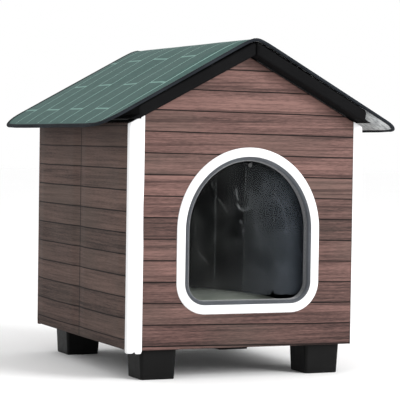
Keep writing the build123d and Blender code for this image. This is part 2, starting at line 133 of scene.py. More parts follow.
def grid(points, wrap_rows=False, wrap_columns=False, finish=0, uv=None):
    """Faces over a grid of points: each joins row i and i + 1 with column j and j + 1."""
    rows, columns = points.shape[:2]
    i, j = np.meshgrid(
        np.arange(rows - 1 + wrap_rows), np.arange(columns - 1 + wrap_columns), indexing="ij"
    )
    corners = [(i, j), (i + 1, j), (i + 1, j + 1), (i, j + 1)]
    faces = np.stack([a % rows * columns + b % columns for a, b in corners], -1)
    corner_uv = None
    if uv is not None:
        corner_uv = np.stack([uv[a, b] for a, b in corners], -2).reshape(-1, 4, 2)
    finishes = np.broadcast_to(finish, i.shape).reshape(-1)
    return Patch(points, faces, finishes, corner_uv)


def joined(*patches):
    """Several patches as one, with their face numbers moved past each other's points."""
    starts = np.cumsum([0] + [len(p.points) for p in patches[:-1]])
    return Patch(
        np.concatenate([p.points for p in patches]),
        np.concatenate([p.faces + s for p, s in zip(patches, starts)]),
        np.concatenate([p.finish for p in patches]),
        np.concatenate([p.uv for p in patches]),
    )


def make_piece(name, patch, finishes, body, stands_for=(), crease=50):
    """One object from a patch: welded, facing outwards, riding on its body."""
    mesh = bpy.data.meshes.new(name)
    mesh.vertices.add(len(patch.points))
    mesh.vertices.foreach_set("co", patch.points.ravel())
    mesh.loops.add(patch.faces.size)
    mesh.loops.foreach_set("vertex_index", patch.faces.ravel())
    mesh.polygons.add(len(patch.faces))
    mesh.polygons.foreach_set("loop_start", np.arange(0, patch.faces.size, 4))
    mesh.polygons.foreach_set("material_index", np.asarray(patch.finish, np.int32))
    mesh.uv_layers.new(name="cloth").data.foreach_set("uv", patch.uv.ravel())
    mesh.update(calc_edges=True)
    shell = bmesh.new()
    shell.from_mesh(mesh)
    bmesh.ops.remove_doubles(shell, verts=shell.verts, dist=0.002 * mm)
    if shell.calc_volume(signed=True) < 0:
        bmesh.ops.reverse_faces(shell, faces=shell.faces)
    open_edges = sum(1 for e in shell.edges if len(e.link_faces) != 2)
    shell.to_mesh(mesh)
    shell.free()
    mesh.polygons.foreach_set("use_smooth", np.ones(len(mesh.polygons), bool))
    mesh.set_sharp_from_angle(angle=np.radians(crease))
    for finish in finishes:
        mesh.materials.append(finish)
    piece = bpy.data.objects.new(name, mesh)
    bpy.context.scene.collection.objects.link(piece)
    if body:
        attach(piece, body)
    if stands_for:
        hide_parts(*stands_for)
    print(name, "faces", len(mesh.polygons), "open edges", open_edges)
    return piece


# %% [markdown]
# A sheet needs two sides and a soft rim. Solidify gives a square rim, so here the outer and
# the inner grid are closed into one ring with a rounded row between them. Tapes, pipings and
# bindings are a profile carried along a path, and thread is a row of small capsules.


# %% Thick sheets, sweeps and stitches
rim_roundness = 0.9


def unit(vectors):
    """Vectors scaled to length one."""
    return vectors / np.maximum(np.linalg.norm(vectors, axis=-1, keepdims=True), 1e-12)


def thick_sheet(outer, inner, wrap=False, uv=None, inside_finish=0, rim_finish=None):
    """Closed cloth between two grids; its rim is a point pushed out by half the thickness.

    The rim finish goes on the first and last column; the rows' ends take the inside finish.
    """
    rim_finish = inside_finish if rim_finish is None else rim_finish
    middle = (outer + inner) / 2
    half = np.linalg.norm(outer - inner, axis=-1, keepdims=True) / 2 * rim_roundness
    start = middle[:, :1] + unit(middle[:, :1] - middle[:, 1:2]) * half[:, :1]
    end = middle[:, -1:] + unit(middle[:, -1:] - middle[:, -2:-1]) * half[:, -1:]
    ring = np.concatenate([outer, end, inner[:, ::-1], start], axis=1)
    columns = outer.shape[1]
    column = np.arange(2 * columns + 2)
    finish = np.where(column < columns - 1, 0, inside_finish)
    rim = (column == columns - 1) | (column == columns) | (column >= 2 * columns)
    finish = np.where(rim, rim_finish, finish)
    ring_uv = None
    if uv is not None:
        ring_uv = np.concatenate([uv, uv[:, -1:], uv[:, ::-1], uv[:, :1], uv[:, :1]], axis=1)
    patches = [grid(ring, wrap, True, finish[None], ring_uv)]
    if not wrap:
        for row, beside, order in ((0, 1, -1), (-1, -2, 1)):
            lip = middle[row] + unit(middle[row] - middle[beside]) * half[row]
            lines = [outer[row], lip, inner[row]][::order]
            cap = np.stack([np.concatenate([start[row], line, end[row]]) for line in lines])
            patches.append(grid(cap, finish=inside_finish))
    return joined(*patches)


def sweep(path, out, rise, profile, closed=False):
    """Profile carried along a path: path + a * out + b * rise; open ends close to a point."""
    out = np.broadcast_to(out, path.shape)
    rise = np.broadcast_to(rise, path.shape)
    points = path[:, None] + profile[:, :1] * out[:, None] + profile[:, 1:] * rise[:, None]
    if not closed:
        centre = points.mean(1, keepdims=True) + 0 * points
        points = np.concatenate([centre[:1], points, centre[-1:]])
    return grid(points, wrap_rows=closed, wrap_columns=True)


def lengths(path):
    """Distance along a path at each of its points."""
    steps = np.linalg.norm(np.diff(path, axis=0), axis=1)
    return np.concatenate([[0], np.cumsum(steps)])


def stitches(path, rise, spacing, length, width):
    """Thread that shows along a path: small capsules, spaced evenly, lying along it."""
    along = lengths(path)
    count = max(2, int(along[-1] / spacing))
    places = (np.arange(count) + 0.5) / count * along[-1]

    def at(distance):
        """Places on the path at these distances."""
        return np.stack([np.interp(distance, along, path[:, k]) for k in range(3)], -1)

    tangent = unit(at(places + spacing / 10) - at(places - spacing / 10))
    rise = np.broadcast_to(rise, path.shape)
    lift = unit(np.stack([np.interp(places, along, rise[:, k]) for k in range(3)], -1))
    across = np.cross(tangent, lift)
    station = np.array([-1, -0.75, 0, 0.75, 1]) * length / 2
    radius = np.array([0, 0.8, 1, 0.8, 0]) * width / 2
    turn = np.arange(5) * 2 * np.pi / 5
    local = np.stack(
        [
            station[:, None] + 0 * turn,
            radius[:, None] * np.cos(turn),
            radius[:, None] * np.sin(turn),
        ],
        -1,
    )
    axes = np.stack([tangent, across, lift], 1)
    points = at(places)[:, None, None] + np.einsum("rck,nkd->nrcd", local, axes)
    template = grid(local, wrap_columns=True).faces
    faces = template[None] + (np.arange(count) * local[..., 0].size)[:, None, None]
    return Patch(points, faces)


def smooth_step(value):
    """0 below 0, 1 above 1, and 3 t^2 - 2 t^3 between."""
    t = np.clip(value, 0, 1)
    return t * t * (3 - 2 * t)


def ripples(a, b, seed, size, waves=9):
    """Slack cloth: a sum of sine waves in seeded directions, from -1 to 1, about size long."""
    draw = np.random.default_rng(seed)
    heading = draw.uniform(0, np.pi, waves)
    number = 2 * np.pi / size * draw.uniform(0.6, 1.6, waves)
    phase = draw.uniform(0, 2 * np.pi, waves)
    a, b = np.asarray(a)[..., None], np.asarray(b)[..., None]
    wave = np.sin(number * (a * np.cos(heading) + b * np.sin(heading)) + phase)
    return wave.sum(-1) / waves


# %% [markdown]
# ## Finishes
# Every finish is a node tree on object coordinates, so its pattern stays on the cloth. A small
# helper adds a node, sets or links its sockets, and hands back its first output, which keeps
# each finish short enough to read as a recipe.


# %% A short way to write node trees
def tint(red, green, blue):
    """A colour as a screen shows it, 0 to 255, turned into the linear one nodes use."""
    shown = np.array([red, green, blue]) / 255
    linear = np.where(shown <= 0.04045, shown / 12.92, ((shown + 0.055) / 1.055) ** 2.4)
    return (*linear.tolist(), 1.0)


class Finish:
    """A material whose nodes are added by short calls."""

    def __init__(self, name):
        self.material = bpy.data.materials.new(name)
        self.material.use_nodes = True
        self.tree = self.material.node_tree
        self.shader = self.tree.nodes["Principled BSDF"]

    def add(self, kind, settings=None, output=0, **sockets):
        """One node; sockets are values or other nodes' outputs, spaces written as _."""
        node = self.tree.nodes.new("ShaderNode" + kind)
        for key, value in (settings or {}).items():
            setattr(node, key, value)
        for key, value in sockets.items():
            index = int(key[1:]) if key[1:].isdigit() else key.replace("_", " ")
            self.put(node.inputs[index], value)
        return node.outputs[output]

    def put(self, socket, value):
        """Links an output to a socket, or sets the socket's own value."""
        if isinstance(value, bpy.types.NodeSocket):
            self.tree.links.new(value, socket)
        else:
            socket.default_value = value

    def math(self, operation, a, b=0.0, c=0.0):
        """One sum of up to three values or outputs."""
        return self.add("Math", {"operation": operation}, i0=a, i1=b, i2=c)

    def axes(self):
        """The object coordinates as three outputs."""
        place = self.add("TexCoord", output="Object")
        split = self.tree.nodes.new("ShaderNodeSeparateXYZ")
        self.put(split.inputs[0], place)
        return split.outputs

    def point(self, x, y, z):
        """Three numbers as one place."""
        return self.add("CombineXYZ", i0=x, i1=y, i2=z)

    def noise(self, vector, scale, detail=3.0, roughness=0.5):
        """Cloudy noise from 0 to 1, with about scale clouds to the metre."""
        settings = {"noise_dimensions": "3D"}
        return self.add(
            "TexNoise", settings, Vector=vector, Scale=scale, Detail=detail, Roughness=roughness
        )

    def band(self, value, low, high, to_low=0.0, to_high=1.0):
        """Value stretched from low..high to to_low..to_high and held there."""
        return self.add("MapRange", i0=value, i1=low, i2=high, i3=to_low, i4=to_high)

    def mix(self, share, a, b):
        """Colour a where share is 0, b where it is 1."""
        node = self.tree.nodes.new("ShaderNodeMix")
        node.data_type = "RGBA"
        for socket, value in zip((node.inputs[0], node.inputs[6], node.inputs[7]), (share, a, b)):
            self.put(socket, value)
        return node.outputs[2]

    def bump(self, height, distance, strength=1.0, under=None):
        """A normal from a height in units of distance, laid over another bump."""
        node = self.tree.nodes.new("ShaderNodeBump")
        self.put(node.inputs["Height"], height)
        node.inputs["Distance"].default_value = distance
        node.inputs["Strength"].default_value = strength
        if under is not None:
            self.put(node.inputs["Normal"], under)
        return node.outputs[0]

    def set(self, **sockets):
        """Sets the shader's own sockets and hands back the material."""
        for key, value in sockets.items():
            self.put(self.shader.inputs[key.replace("_", " ")], value)
        return self.material


# %% [markdown]
# ### Woven cloth
# Most of the house is woven polyester. A picture of a weave could be tiled, but two crossed
# sine waves at the yarn's pitch give the same ribs as real bumps, and a slow noise adds the
# worn, slightly dusty patches that flat cloth never lacks.


# %% Woven finishes
def woven(name, colour, dusty, yarn=0.55 * mm, roughness=0.85, sheen=0.0, depth=0.08 * mm):
    """Plain weave: ribs of sin(x) and sin(z) that pass over and under each other."""
    f = Finish(name)
    x, y, z = f.axes()
    turn = 2 * np.pi / yarn
    warp = f.math("SINE", f.math("MULTIPLY", f.math("ADD", x, y), turn))
    weft = f.math("SINE", f.math("MULTIPLY", f.math("SUBTRACT", z, f.math("MULTIPLY", y, 0.37)), turn))
    place = f.point(x, y, z)
    patches = f.noise(place, 22.0, 4.0, 0.6)
    fuzz = f.noise(place, 900.0, 2.0, 0.6)
    share = f.band(patches, 0.35, 0.75)
    base = f.mix(share, colour, dusty)
    base = f.mix(f.band(fuzz, 0.3, 0.7, 0.0, 0.35), base, colour)
    ribs = f.math("MULTIPLY_ADD", warp, weft, f.math("MULTIPLY", fuzz, 1.2))
    normal = f.bump(ribs, depth)
    f.set(Base_Color=base, Roughness=roughness, Normal=normal, Sheen_Weight=sheen)
    return f.set(Specular_IOR_Level=0.08, Sheen_Roughness=0.5)


black_cloth = woven("black_cloth", tint(12, 12, 13), tint(18, 18, 19))
dark_lining = woven("dark_lining", tint(20, 21, 23), tint(28, 30, 33), yarn=1.4 * mm, depth=0.012 * mm)
slate_tape = woven("slate_tape", tint(56, 59, 64), tint(72, 76, 82), yarn=0.7 * mm, sheen=0.6)
roof_tape = woven("roof_tape", tint(28, 31, 35), tint(44, 48, 53), yarn=0.7 * mm)
mat_cloth = woven("mat_cloth", tint(112, 118, 111), tint(148, 154, 144), yarn=1.4 * mm, depth=0.04 * mm)


def fleece():
    """Pale backing with darker specks: two thresholds of one rough noise."""
    f = Finish("pale_backing")
    x, y, z = f.axes()
    place = f.point(x, y, z)
    clouds = f.noise(place, 130.0, 5.0, 0.7)
    specks = f.noise(place, 420.0, 3.0, 0.7)
    base = f.mix(f.band(clouds, 0.4, 0.66), tint(216, 219, 219), tint(146, 150, 152))
    base = f.mix(f.band(specks, 0.6, 0.72, 0.0, 0.7), base, tint(88, 92, 94))
    normal = f.bump(specks, 0.3 * mm)
    return f.set(Base_Color=base, Roughness=0.9, Normal=normal, Specular_IOR_Level=0.1)


pale_backing = fleece()

# %% [markdown]
# ### Printed planks
# The walls are cloth with a printed picture of boards. The print is worked out from the
# height: whole plank numbers give each board its own tone, the distance to a plank's edge
# gives the thin dark joint, and noise that is stretched along the board gives its grain.

# %% The wood print
plank_light = tint(122, 93, 87)
plank_mid = tint(90, 68, 64)
plank_dark = tint(50, 38, 36)
plank_grey = tint(80, 71, 65)
plank_joint = tint(14, 10, 9)
# The side walls take a darker, greyer copy of the print's colours: painted shade for walls that face away
# from the lamp.
shaded_side_light = tint(102, 83, 76)
shaded_side_mid = tint(80, 65, 60)
shaded_side_dark = tint(50, 41, 38)


def wood_print(name, joint_height, plank_pitch, tilt, colours, vein_share, seam_y=None):
    """Boards with joints where z + tilt * x is joint_height plus whole pitches.

    Colours go from light to dark. Where a fold is sewn at seam_y, the print gets painted shade in the
    fold's groove and painted shade along the wall's top under the eave.
    """
    light, mid, dark = colours
    f = Finish(name)
    x, y, z = f.axes()
    along = f.math("ADD", x, y)
    level = f.math("MULTIPLY_ADD", x, tilt, z)
    slow = f.noise(f.point(along, 0.3, z), 9.0, 2.0)
    height = f.math("MULTIPLY_ADD", f.math("SUBTRACT", slow, 0.5), 1.6 * mm, level)
    board = f.math("DIVIDE", f.math("SUBTRACT", height, joint_height), plank_pitch)
    number = f.math("FLOOR", board)
    part = f.math("FRACT", board)
    chance = f.add("TexWhiteNoise", {"noise_dimensions": "1D"}, W=number)
    own = f.math("MULTIPLY", chance, 17.0)

    def grain(stretch, fineness, detail, roughness):
        """Noise drawn out along the board: stretch per metre along it, fineness across it."""
        place = f.point(f.math("MULTIPLY_ADD", along, stretch, own), f.math("MULTIPLY", z, fineness), own)
        return f.noise(place, 1.0, detail, roughness)

    broad = f.band(grain(3.0, 75.0, 2.0, 0.5), 0.3, 0.7, -0.22, 0.22)
    streaks = f.band(grain(9.0, 380.0, 5.0, 0.75), 0.3, 0.7, -0.4, 0.4)
    pores = f.band(grain(110.0, 1000.0, 2.0, 0.6), 0.25, 0.75, -0.25, 0.25)
    tone = f.math("MULTIPLY_ADD", chance, 0.42, 0.27)
    for layer in (broad, streaks, pores):
        tone = f.math("ADD", tone, layer)
    # Painted light: the print gets lighter towards the top of the wall, as a lamp above would light it.
    tone = f.math("ADD", tone, f.band(z, 0.2, 0.4, 0.0, 0.22))
    ramp = f.tree.nodes.new("ShaderNodeValToRGB")
    ramp.color_ramp.elements[0].color = dark
    ramp.color_ramp.elements[0].position = 0.0
    ramp.color_ramp.elements[1].color = light
    ramp.color_ramp.elements[1].position = 1.0
    middle = ramp.color_ramp.elements.new(0.48)
    middle.color = mid
    f.put(ramp.inputs[0], tone)
    grey = f.noise(f.point(f.math("MULTIPLY", along, 3.0), own, 0.0), 2.0, 2.0)
    printed = f.mix(f.band(grey, 0.45, 0.7, 0.0, 0.45), ramp.outputs[0], plank_grey)
    veins = f.band(grain(5.0, 250.0, 2.0, 0.4), 0.61, 0.67, 0.0, vein_share)
    printed = f.mix(veins, printed, dark)
    edge = f.math("MULTIPLY", f.math("MINIMUM", part, f.math("SUBTRACT", 1.0, part)), plank_pitch)
    joint = f.band(edge, 0.55 * mm, 0.85 * mm, 1.0, 0.0)
    shade = f.band(edge, 0.5 * mm, 2.0 * mm, 0.3, 0.0)
    printed = f.mix(shade, printed, dark)
    printed = f.mix(joint, printed, plank_joint)
    if seam_y is not None:
        # Painted shade: within a few millimetres of the sewn fold the print is pulled towards the joint
        # colour, as shade in its groove.
        beside = f.math("ABSOLUTE", f.math("SUBTRACT", y, seam_y))
        printed = f.mix(f.band(beside, 0.7 * mm, 2.4 * mm, 0.75, 0.0), printed, plank_joint)
        # Painted shade: the side print is pulled dark over the top 55 mm of the wall, where the eave
        # shades it.
        painted_eave_shade = f.band(z, side_high.z - 55 * mm, side_high.z, 0.0, 0.6)
        printed = f.mix(painted_eave_shade, printed, shaded_side_dark)
    weave = f.noise(f.point(x, y, z), 1100.0, 2.0)
    normal = f.bump(weave, 0.05 * mm, 0.7)
    return f.set(Base_Color=printed, Roughness=0.75, Normal=normal, Specular_IOR_Level=0.12)


# The front and rear walls take the print's own colours; the side walls take the copy with painted shade.
front_colours = (plank_light, plank_mid, plank_dark)
shaded_side_colours = (shaded_side_light, shaded_side_mid, shaded_side_dark)
front_planks = wood_print("front_planks", 70.1 * mm, 27.42 * mm, 0.0136, front_colours, 0.55)
shaded_side_planks = wood_print("shaded_side_planks", 53.3 * mm, 27.2 * mm, 0.0, shaded_side_colours, 0.3, middle_y)

# %% [markdown]
# ### The roof's print
# Thin pale lines run down the slope and short thicker bars cross every other column, like
# laid shingles. The pattern follows the sheet over the ridge and round the eave, so it reads
# the sheet's own map, which holds the distance down the slope and the place along the ridge.

# %% The shingle print
shingle_pitch = 49.3 * mm
first_shingle_line = -137.0 * mm
bar_rows = (58 * mm, 198 * mm, 131 * mm)
roof_green = tint(50, 79, 75)
roof_green_light = tint(68, 99, 94)
shingle_line = tint(164, 202, 192)
shingle_bar = tint(124, 162, 153)


def roof_print():
    """Lines where y is first_shingle_line + k * shingle_pitch; bars at the bar rows."""
    f = Finish("roof_print")
    cloth_map = f.add("UVMap", {"uv_map": "cloth"})
    split = f.tree.nodes.new("ShaderNodeSeparateXYZ")
    f.put(split.inputs[0], cloth_map)
    slope, along = f.math("ABSOLUTE", split.outputs[0]), split.outputs[1]
    place = f.point(split.outputs[0], along, 0.0)
    drift = f.math("SUBTRACT", f.noise(place, 9.0, 2.0), 0.5)
    column = f.math("DIVIDE", f.math("SUBTRACT", along, first_shingle_line), shingle_pitch)
    column = f.math("MULTIPLY_ADD", drift, 0.05, column)
    part = f.math("FRACT", column)
    edge = f.math("MULTIPLY", f.math("MINIMUM", part, f.math("SUBTRACT", 1.0, part)), shingle_pitch)
    line = f.band(edge, 0.55 * mm, 1.0 * mm, 0.95, 0.0)
    line = f.math("MULTIPLY", line, f.band(slope, 233 * mm, 236 * mm, 1.0, 0.0))
    odd = f.math("FLOORED_MODULO", f.math("FLOOR", column), 2.0)
    even = f.math("SUBTRACT", 1.0, odd)

    def bar(row):
        """Share of the bar colour: 0.8 on a bar that lies row down the slope, 0 beside it."""
        off = f.math("ABSOLUTE", f.math("SUBTRACT", slope, row))
        return f.band(off, 1.5 * mm, 2.1 * mm, 0.8, 0.0)

    bars = f.math("MULTIPLY", f.math("ADD", bar(bar_rows[0]), bar(bar_rows[1])), even)
    bars = f.math("MULTIPLY_ADD", bar(bar_rows[2]), odd, bars)
    bars = f.math("MULTIPLY", bars, f.band(along, -188 * mm, -186 * mm))
    mottle = f.noise(place, 160.0, 5.0, 0.65)
    slow = f.noise(place, 12.0, 3.0, 0.5)
    base = f.mix(f.band(mottle, 0.3, 0.7), roof_green, roof_green_light)
    base = f.mix(f.band(slow, 0.3, 0.75, 0.0, 0.35), base, roof_green_light)
    base = f.mix(bars, base, shingle_bar)
    base = f.mix(line, base, shingle_line)
    grain = f.noise(place, 1300.0, 2.0)
    return f.set(
        Base_Color=base,
        Roughness=0.68,
        Normal=f.bump(grain, 0.06 * mm, 0.8),
        Specular_IOR_Level=0.2,
    )


shingles = roof_print()

# %% [markdown]
# ### Smooth, clear and hard finishes
# The trims are coated cloth with a soft shine. The door's sheet is clear: its faint haze, smears,
# scratches and the painted glints of its creases are what make it visible, so they are worked out and the
# sheet between them stays see-through. The feet are moulded plastic with a fine spark texture.


# %% Trim, clear sheet, plastic, foam, tape and steel
def coated_trim():
    """White coated cloth: faint creases that run upwards over a fine grain."""
    f = Finish("white_trim")
    x, y, z = f.axes()
    place = f.point(x, y, z)
    creases = f.noise(f.point(x, y, f.math("MULTIPLY", z, 0.35)), 90.0, 4.0, 0.6)
    grain = f.noise(place, 1400.0, 2.0)
    base = f.mix(f.band(creases, 0.35, 0.75), tint(228, 228, 229), tint(220, 221, 222))
    normal = f.bump(creases, 0.25 * mm, 0.5, f.bump(grain, 0.03 * mm, 0.6))
    return f.set(Base_Color=base, Roughness=0.45, Normal=normal, Specular_IOR_Level=0.3)


def clear_sheet():
    """See-through sheet: alpha is a thin haze, more to the right, plus the marks of wear, which also
    paint glints.
    """
    f = Finish("clear_sheet")
    x, y, z = f.axes()
    place = f.point(x, y, z)
    # The marks are creases and scratches; their alpha and pale colour also paint the glints that the
    # creases show.
    marks = f.add("Attribute", {"attribute_name": "wear"}, output="Fac")
    clouds = f.noise(place, 30.0, 5.0, 0.65)
    cloud = f.band(clouds, 0.38, 0.7, 0.0, 0.012)
    rightward = f.band(x, -5 * mm, 70 * mm, 0.0, 0.026)
    low = f.band(z, 0.16, 0.11, 0.0, 0.008)
    smeared = f.band(f.noise(place, 46.0, 5.0, 0.7), 0.5, 0.72, 0.0, 0.026)
    smear = f.math("MULTIPLY", smeared, f.band(x, 0 * mm, 40 * mm, 0.1, 1.0))
    broken = f.band(f.noise(place, 240.0, 3.0, 0.6), 0.38, 0.62, 0.1, 0.75)
    haze = f.math("MULTIPLY_ADD", marks, broken, 0.003)
    for layer in (cloud, rightward, low, smear):
        haze = f.math("ADD", haze, layer)
    cool = f.band(x, -30 * mm, 80 * mm)
    f.set(Base_Color=f.mix(cool, tint(178, 182, 180), tint(150, 162, 178)), Roughness=0.3, Alpha=haze)
    return f.set(Specular_IOR_Level=0.3, IOR=1.5)


def cut_edge():
    """The sheet's cut rim, which catches light along the slits."""
    f = Finish("cut_edge")
    x, y, z = f.axes()
    nicks = f.noise(f.point(x, y, z), 260.0, 3.0)
    glow = f.band(nicks, 0.35, 0.7, 0.05, 0.16)
    return f.set(Base_Color=tint(170, 176, 178), Roughness=0.4, Alpha=glow)


def moulded_plastic():
    """Black plastic: fine spark texture, duller where it is scuffed."""
    f = Finish("foot_plastic")
    x, y, z = f.axes()
    place = f.point(x, y, z)
    spark = f.noise(place, 1500.0, 2.0, 0.6)
    scuffs = f.noise(place, 60.0, 5.0, 0.7)
    base = f.mix(f.band(scuffs, 0.5, 0.8), tint(7, 7, 7), tint(13, 13, 13))
    rough = f.band(scuffs, 0.35, 0.7, 0.42, 0.55)
    normal = f.bump(spark, 0.04 * mm, 0.8)
    return f.set(Base_Color=base, Roughness=rough, Normal=normal, Specular_IOR_Level=0.12)


def foam():
    """Pale foam board with small cells."""
    f = Finish("foam_board")
    x, y, z = f.axes()
    cells = f.noise(f.point(x, y, z), 700.0, 3.0)
    base = f.mix(f.band(cells, 0.35, 0.65), tint(222, 222, 218), tint(200, 200, 196))
    return f.set(Base_Color=base, Roughness=0.9, Normal=f.bump(cells, 0.2 * mm))


def hook_tape():
    """Black hook and loop tape: a deep fine pile."""
    f = Finish("hook_and_loop")
    x, y, z = f.axes()
    pile = f.noise(f.point(x, y, z), 1600.0, 3.0, 0.7)
    base = f.mix(f.band(pile, 0.35, 0.7), tint(10, 10, 11), tint(34, 34, 36))
    return f.set(Base_Color=base, Roughness=0.95, Normal=f.bump(pile, 0.5 * mm), Sheen_Weight=0.3)


def zinc():
    """Zinc-plated steel with a soft spangle."""
    f = Finish("zinc_steel")
    x, y, z = f.axes()
    spangle = f.noise(f.point(x, y, z), 350.0, 3.0)
    base = f.mix(f.band(spangle, 0.3, 0.7), tint(190, 192, 196), tint(160, 163, 168))
    return f.set(Base_Color=base, Metallic=1.0, Roughness=f.band(spangle, 0.3, 0.7, 0.25, 0.4))


def clear_plastic():
    """Snap button that is clear; its colour is painted dark for the shaded inside that shows through it.
    """
    f = Finish("clear_plastic")
    x, y, z = f.axes()
    wear = f.noise(f.point(x, y, z), 900.0, 3.0)
    base = f.mix(f.band(wear, 0.4, 0.7), tint(40, 43, 42), tint(28, 30, 30))
    return f.set(Base_Color=base, Roughness=f.band(wear, 0.3, 0.7, 0.15, 0.3))


def thread(name, colour, worn):
    """Twisted thread that goes from its colour to a worn one."""
    f = Finish(name)
    x, y, z = f.axes()
    twist = f.noise(f.point(x, y, z), 2600.0, 2.0)
    base = f.mix(f.band(twist, 0.35, 0.65), colour, worn)
    return f.set(Base_Color=base, Roughness=0.7, Normal=f.bump(twist, 0.05 * mm))


trim_finish = coated_trim()
clear_finish = clear_sheet()
edge_finish = cut_edge()
foot_finish = moulded_plastic()
foam_finish = foam()
tape_finish = hook_tape()
steel_finish = zinc()
snap_finish = clear_plastic()
pale_thread = thread("pale_thread", tint(150, 154, 158), tint(120, 124, 128))
white_thread = thread("white_thread", tint(225, 226, 228), tint(200, 202, 204))
seam_thread = thread("seam_thread", tint(26, 20, 18), tint(16, 12, 11))
dark_thread = thread("dark_thread", tint(40, 42, 45), tint(24, 25, 27))

# %% [markdown]
# ## The rigid parts
# Boards, feet, screws, nuts and tapes already have their right shapes in the frame. They could
# be drawn again, but then they might no longer fit, so they stay and only take a finish.

# %% Finishes of the CAD parts that stay
wall_leaves = [f"{hand}_{end}_leaf" for hand in ("left", "right") for end in ("front", "rear")]
boards = ["front_board", "rear_board", "floor_board", "roof_board_left", "roof_board_right"]
feet = [f"foot_{end}_{hand}" for end in ("front", "rear") for hand in ("left", "right")]
tape_kinds = ("wall_hook_tapes", "roof_loop_tapes")
tapes = [f"{kind}_{hand}" for kind in tape_kinds for hand in ("left", "right")]
kept_finishes = (
    (foam_finish, boards + wall_leaves),
    (foot_finish, feet),
    (steel_finish, ["foot_screws", "foot_nuts"]),
    (snap_finish, ["curtain_snap"]),
    (tape_finish, ["header_tape", *tapes]),
)
for finish, names in kept_finishes:
    for name in names:
        slots = nodes[name].material_slots
        for slot in slots:
            slot.material = finish
        if not slots:
            nodes[name].data.materials.append(finish)
print("CAD parts with a finish:", sum(len(names) for _, names in kept_finishes))

# %% [markdown]
# ## The gable walls
# Each gable wall is a printed cover, a foam board and a dark lining. The cover is drawn on
# rays from the doorway's middle: along a ray it runs from the door's edge, swells a little
# over the foam, and rolls over the wall's edge. A flat face with a bevel would be simpler, but
# then the cloth would not dip at its sewn edges.

# %% Doorway outline
door_low, door_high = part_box("door_edge_binding")
binding_width = 5.4 * mm
door_middle = (door_low.x + door_high.x) / 2
door_half_width = (door_high.x - door_low.x) / 2 - binding_width
sill_z = door_low.z + binding_width
crown_z = door_high.z - binding_width
arch_height = 90 * mm
arch_z = crown_z - arch_height
door_corner = 23 * mm
ray_centre_z = 190 * mm


def door_path(count):
    """Doorway edge and its outward directions: half ellipse, straight sides, round corners."""
    arch = np.linspace(0, np.pi, 160)
    left_turn = np.linspace(np.pi, 1.5 * np.pi, 40)
    right_turn = np.linspace(1.5 * np.pi, 2 * np.pi, 40)
    turn = np.concatenate([arch, left_turn, right_turn, [2 * np.pi]])
    out = np.stack([np.cos(turn), np.sin(turn)], -1)
    arch_points = np.stack([door_half_width * np.cos(arch), arch_z + arch_height * np.sin(arch)], -1)
    inset = door_half_width - door_corner
    corner_z = sill_z + door_corner
    left_points = np.array([-inset, corner_z]) + door_corner * out[160:200]
    right_points = np.array([inset, corner_z]) + door_corner * out[200:240]
    points = np.concatenate([arch_points, left_points, right_points, arch_points[:1]])
    points[:, 0] += door_middle
    along = lengths(points)
    places = np.linspace(0, along[-1], count, endpoint=False)
    even = [np.interp(places, along, column) for column in (*points.T, *out.T)]
    return np.stack(even[:2], -1), unit(np.stack(even[2:], -1))


edge_points, edge_out = door_path(360)


# %% One sheet of a gable wall
def gable_rays():
    """Angles of the rays: even ones and those through the wall's five corners."""
    corners = np.array(
        [
            (half_width, wall_bottom),
            (half_width, gable_peak - roof_tan * half_width),
            (0, gable_peak),
            (-half_width, gable_peak - roof_tan * half_width),
            (-half_width, wall_bottom),
        ]
    )
    through = np.arctan2(corners[:, 1] - ray_centre_z, corners[:, 0] - door_middle)
    even = np.linspace(-np.pi, np.pi, 320, endpoint=False)
    far = np.abs(even[:, None] - through).min(1) > 0.006
    return np.sort(np.concatenate([even[far], through]))


rays = gable_rays()[:, None]


def outline_radius(side, bottom, peak, inset):
    """Ray length to the wall outline moved in by inset: the least over its five straight edges."""
    across, rise = np.cos(rays), np.sin(rays)
    steep = inset / np.cos(roof_pitch)
    edges = [
        (-rise, ray_centre_z - bottom - inset),
        (across, side - inset - door_middle),
        (-across, side - inset + door_middle),
        (rise + roof_tan * across, peak - steep - ray_centre_z - roof_tan * door_middle),
        (rise - roof_tan * across, peak - steep - ray_centre_z + roof_tan * door_middle),
    ]
    reach = [np.where(n > 1e-6, d / np.maximum(n, 1e-6), np.inf) for n, d in edges]
    return np.minimum.reduce(reach)


def gable_surface(face_y, facing, side, bottom, peak, rounding, depth, hole, swell):
    """Rings from the door's edge to the wall's outline, then over its rounded edge.

    facing is -1 for a face that looks to the front. Depth is how far the cloth turns back.
    """
    turn = np.linspace(0, np.pi / 2, 7)[1:]
    inset = np.concatenate([rounding * (1 - np.sin(turn)), [0.0]])[None]
    drop = np.concatenate([rounding * (1 - np.cos(turn)), [depth]])[None]
    if hole is None:
        inner = np.zeros_like(rays)
    else:
        edge = edge_points + hole * edge_out - [door_middle, ray_centre_z]
        angle = np.arctan2(edge[:, 1], edge[:, 0])
        order = np.argsort(angle)
        inner = np.interp(
            rays, angle[order], np.hypot(*edge.T)[order], period=2 * np.pi
        )
    flat_end = outline_radius(side, bottom, peak, rounding)
    share = np.linspace(0, 1, 30)[None]
    radius = np.concatenate(
        [inner + (flat_end - inner) * share, outline_radius(side, bottom, peak, inset)], 1
    )
    drop = np.concatenate([np.zeros((1, 30)), drop], 1) + 0 * radius
    x = door_middle + radius * np.cos(rays)
    z = ray_centre_z + radius * np.sin(rays)
    to_edge = np.minimum.reduce(
        [side - np.abs(x), z - bottom, (peak - roof_tan * np.abs(x) - z) * np.cos(roof_pitch)]
    )
    free = smooth_step((to_edge - 5 * mm) / (28 * mm))
    if hole is not None:
        free = free * smooth_step((radius - inner - 14 * mm) / (22 * mm))
    slack = 1 + 0.35 * ripples(x, z, 11, 120 * mm)
    y = face_y + facing * (swell * free * slack - drop)
    return np.stack([x, y, z], -1)


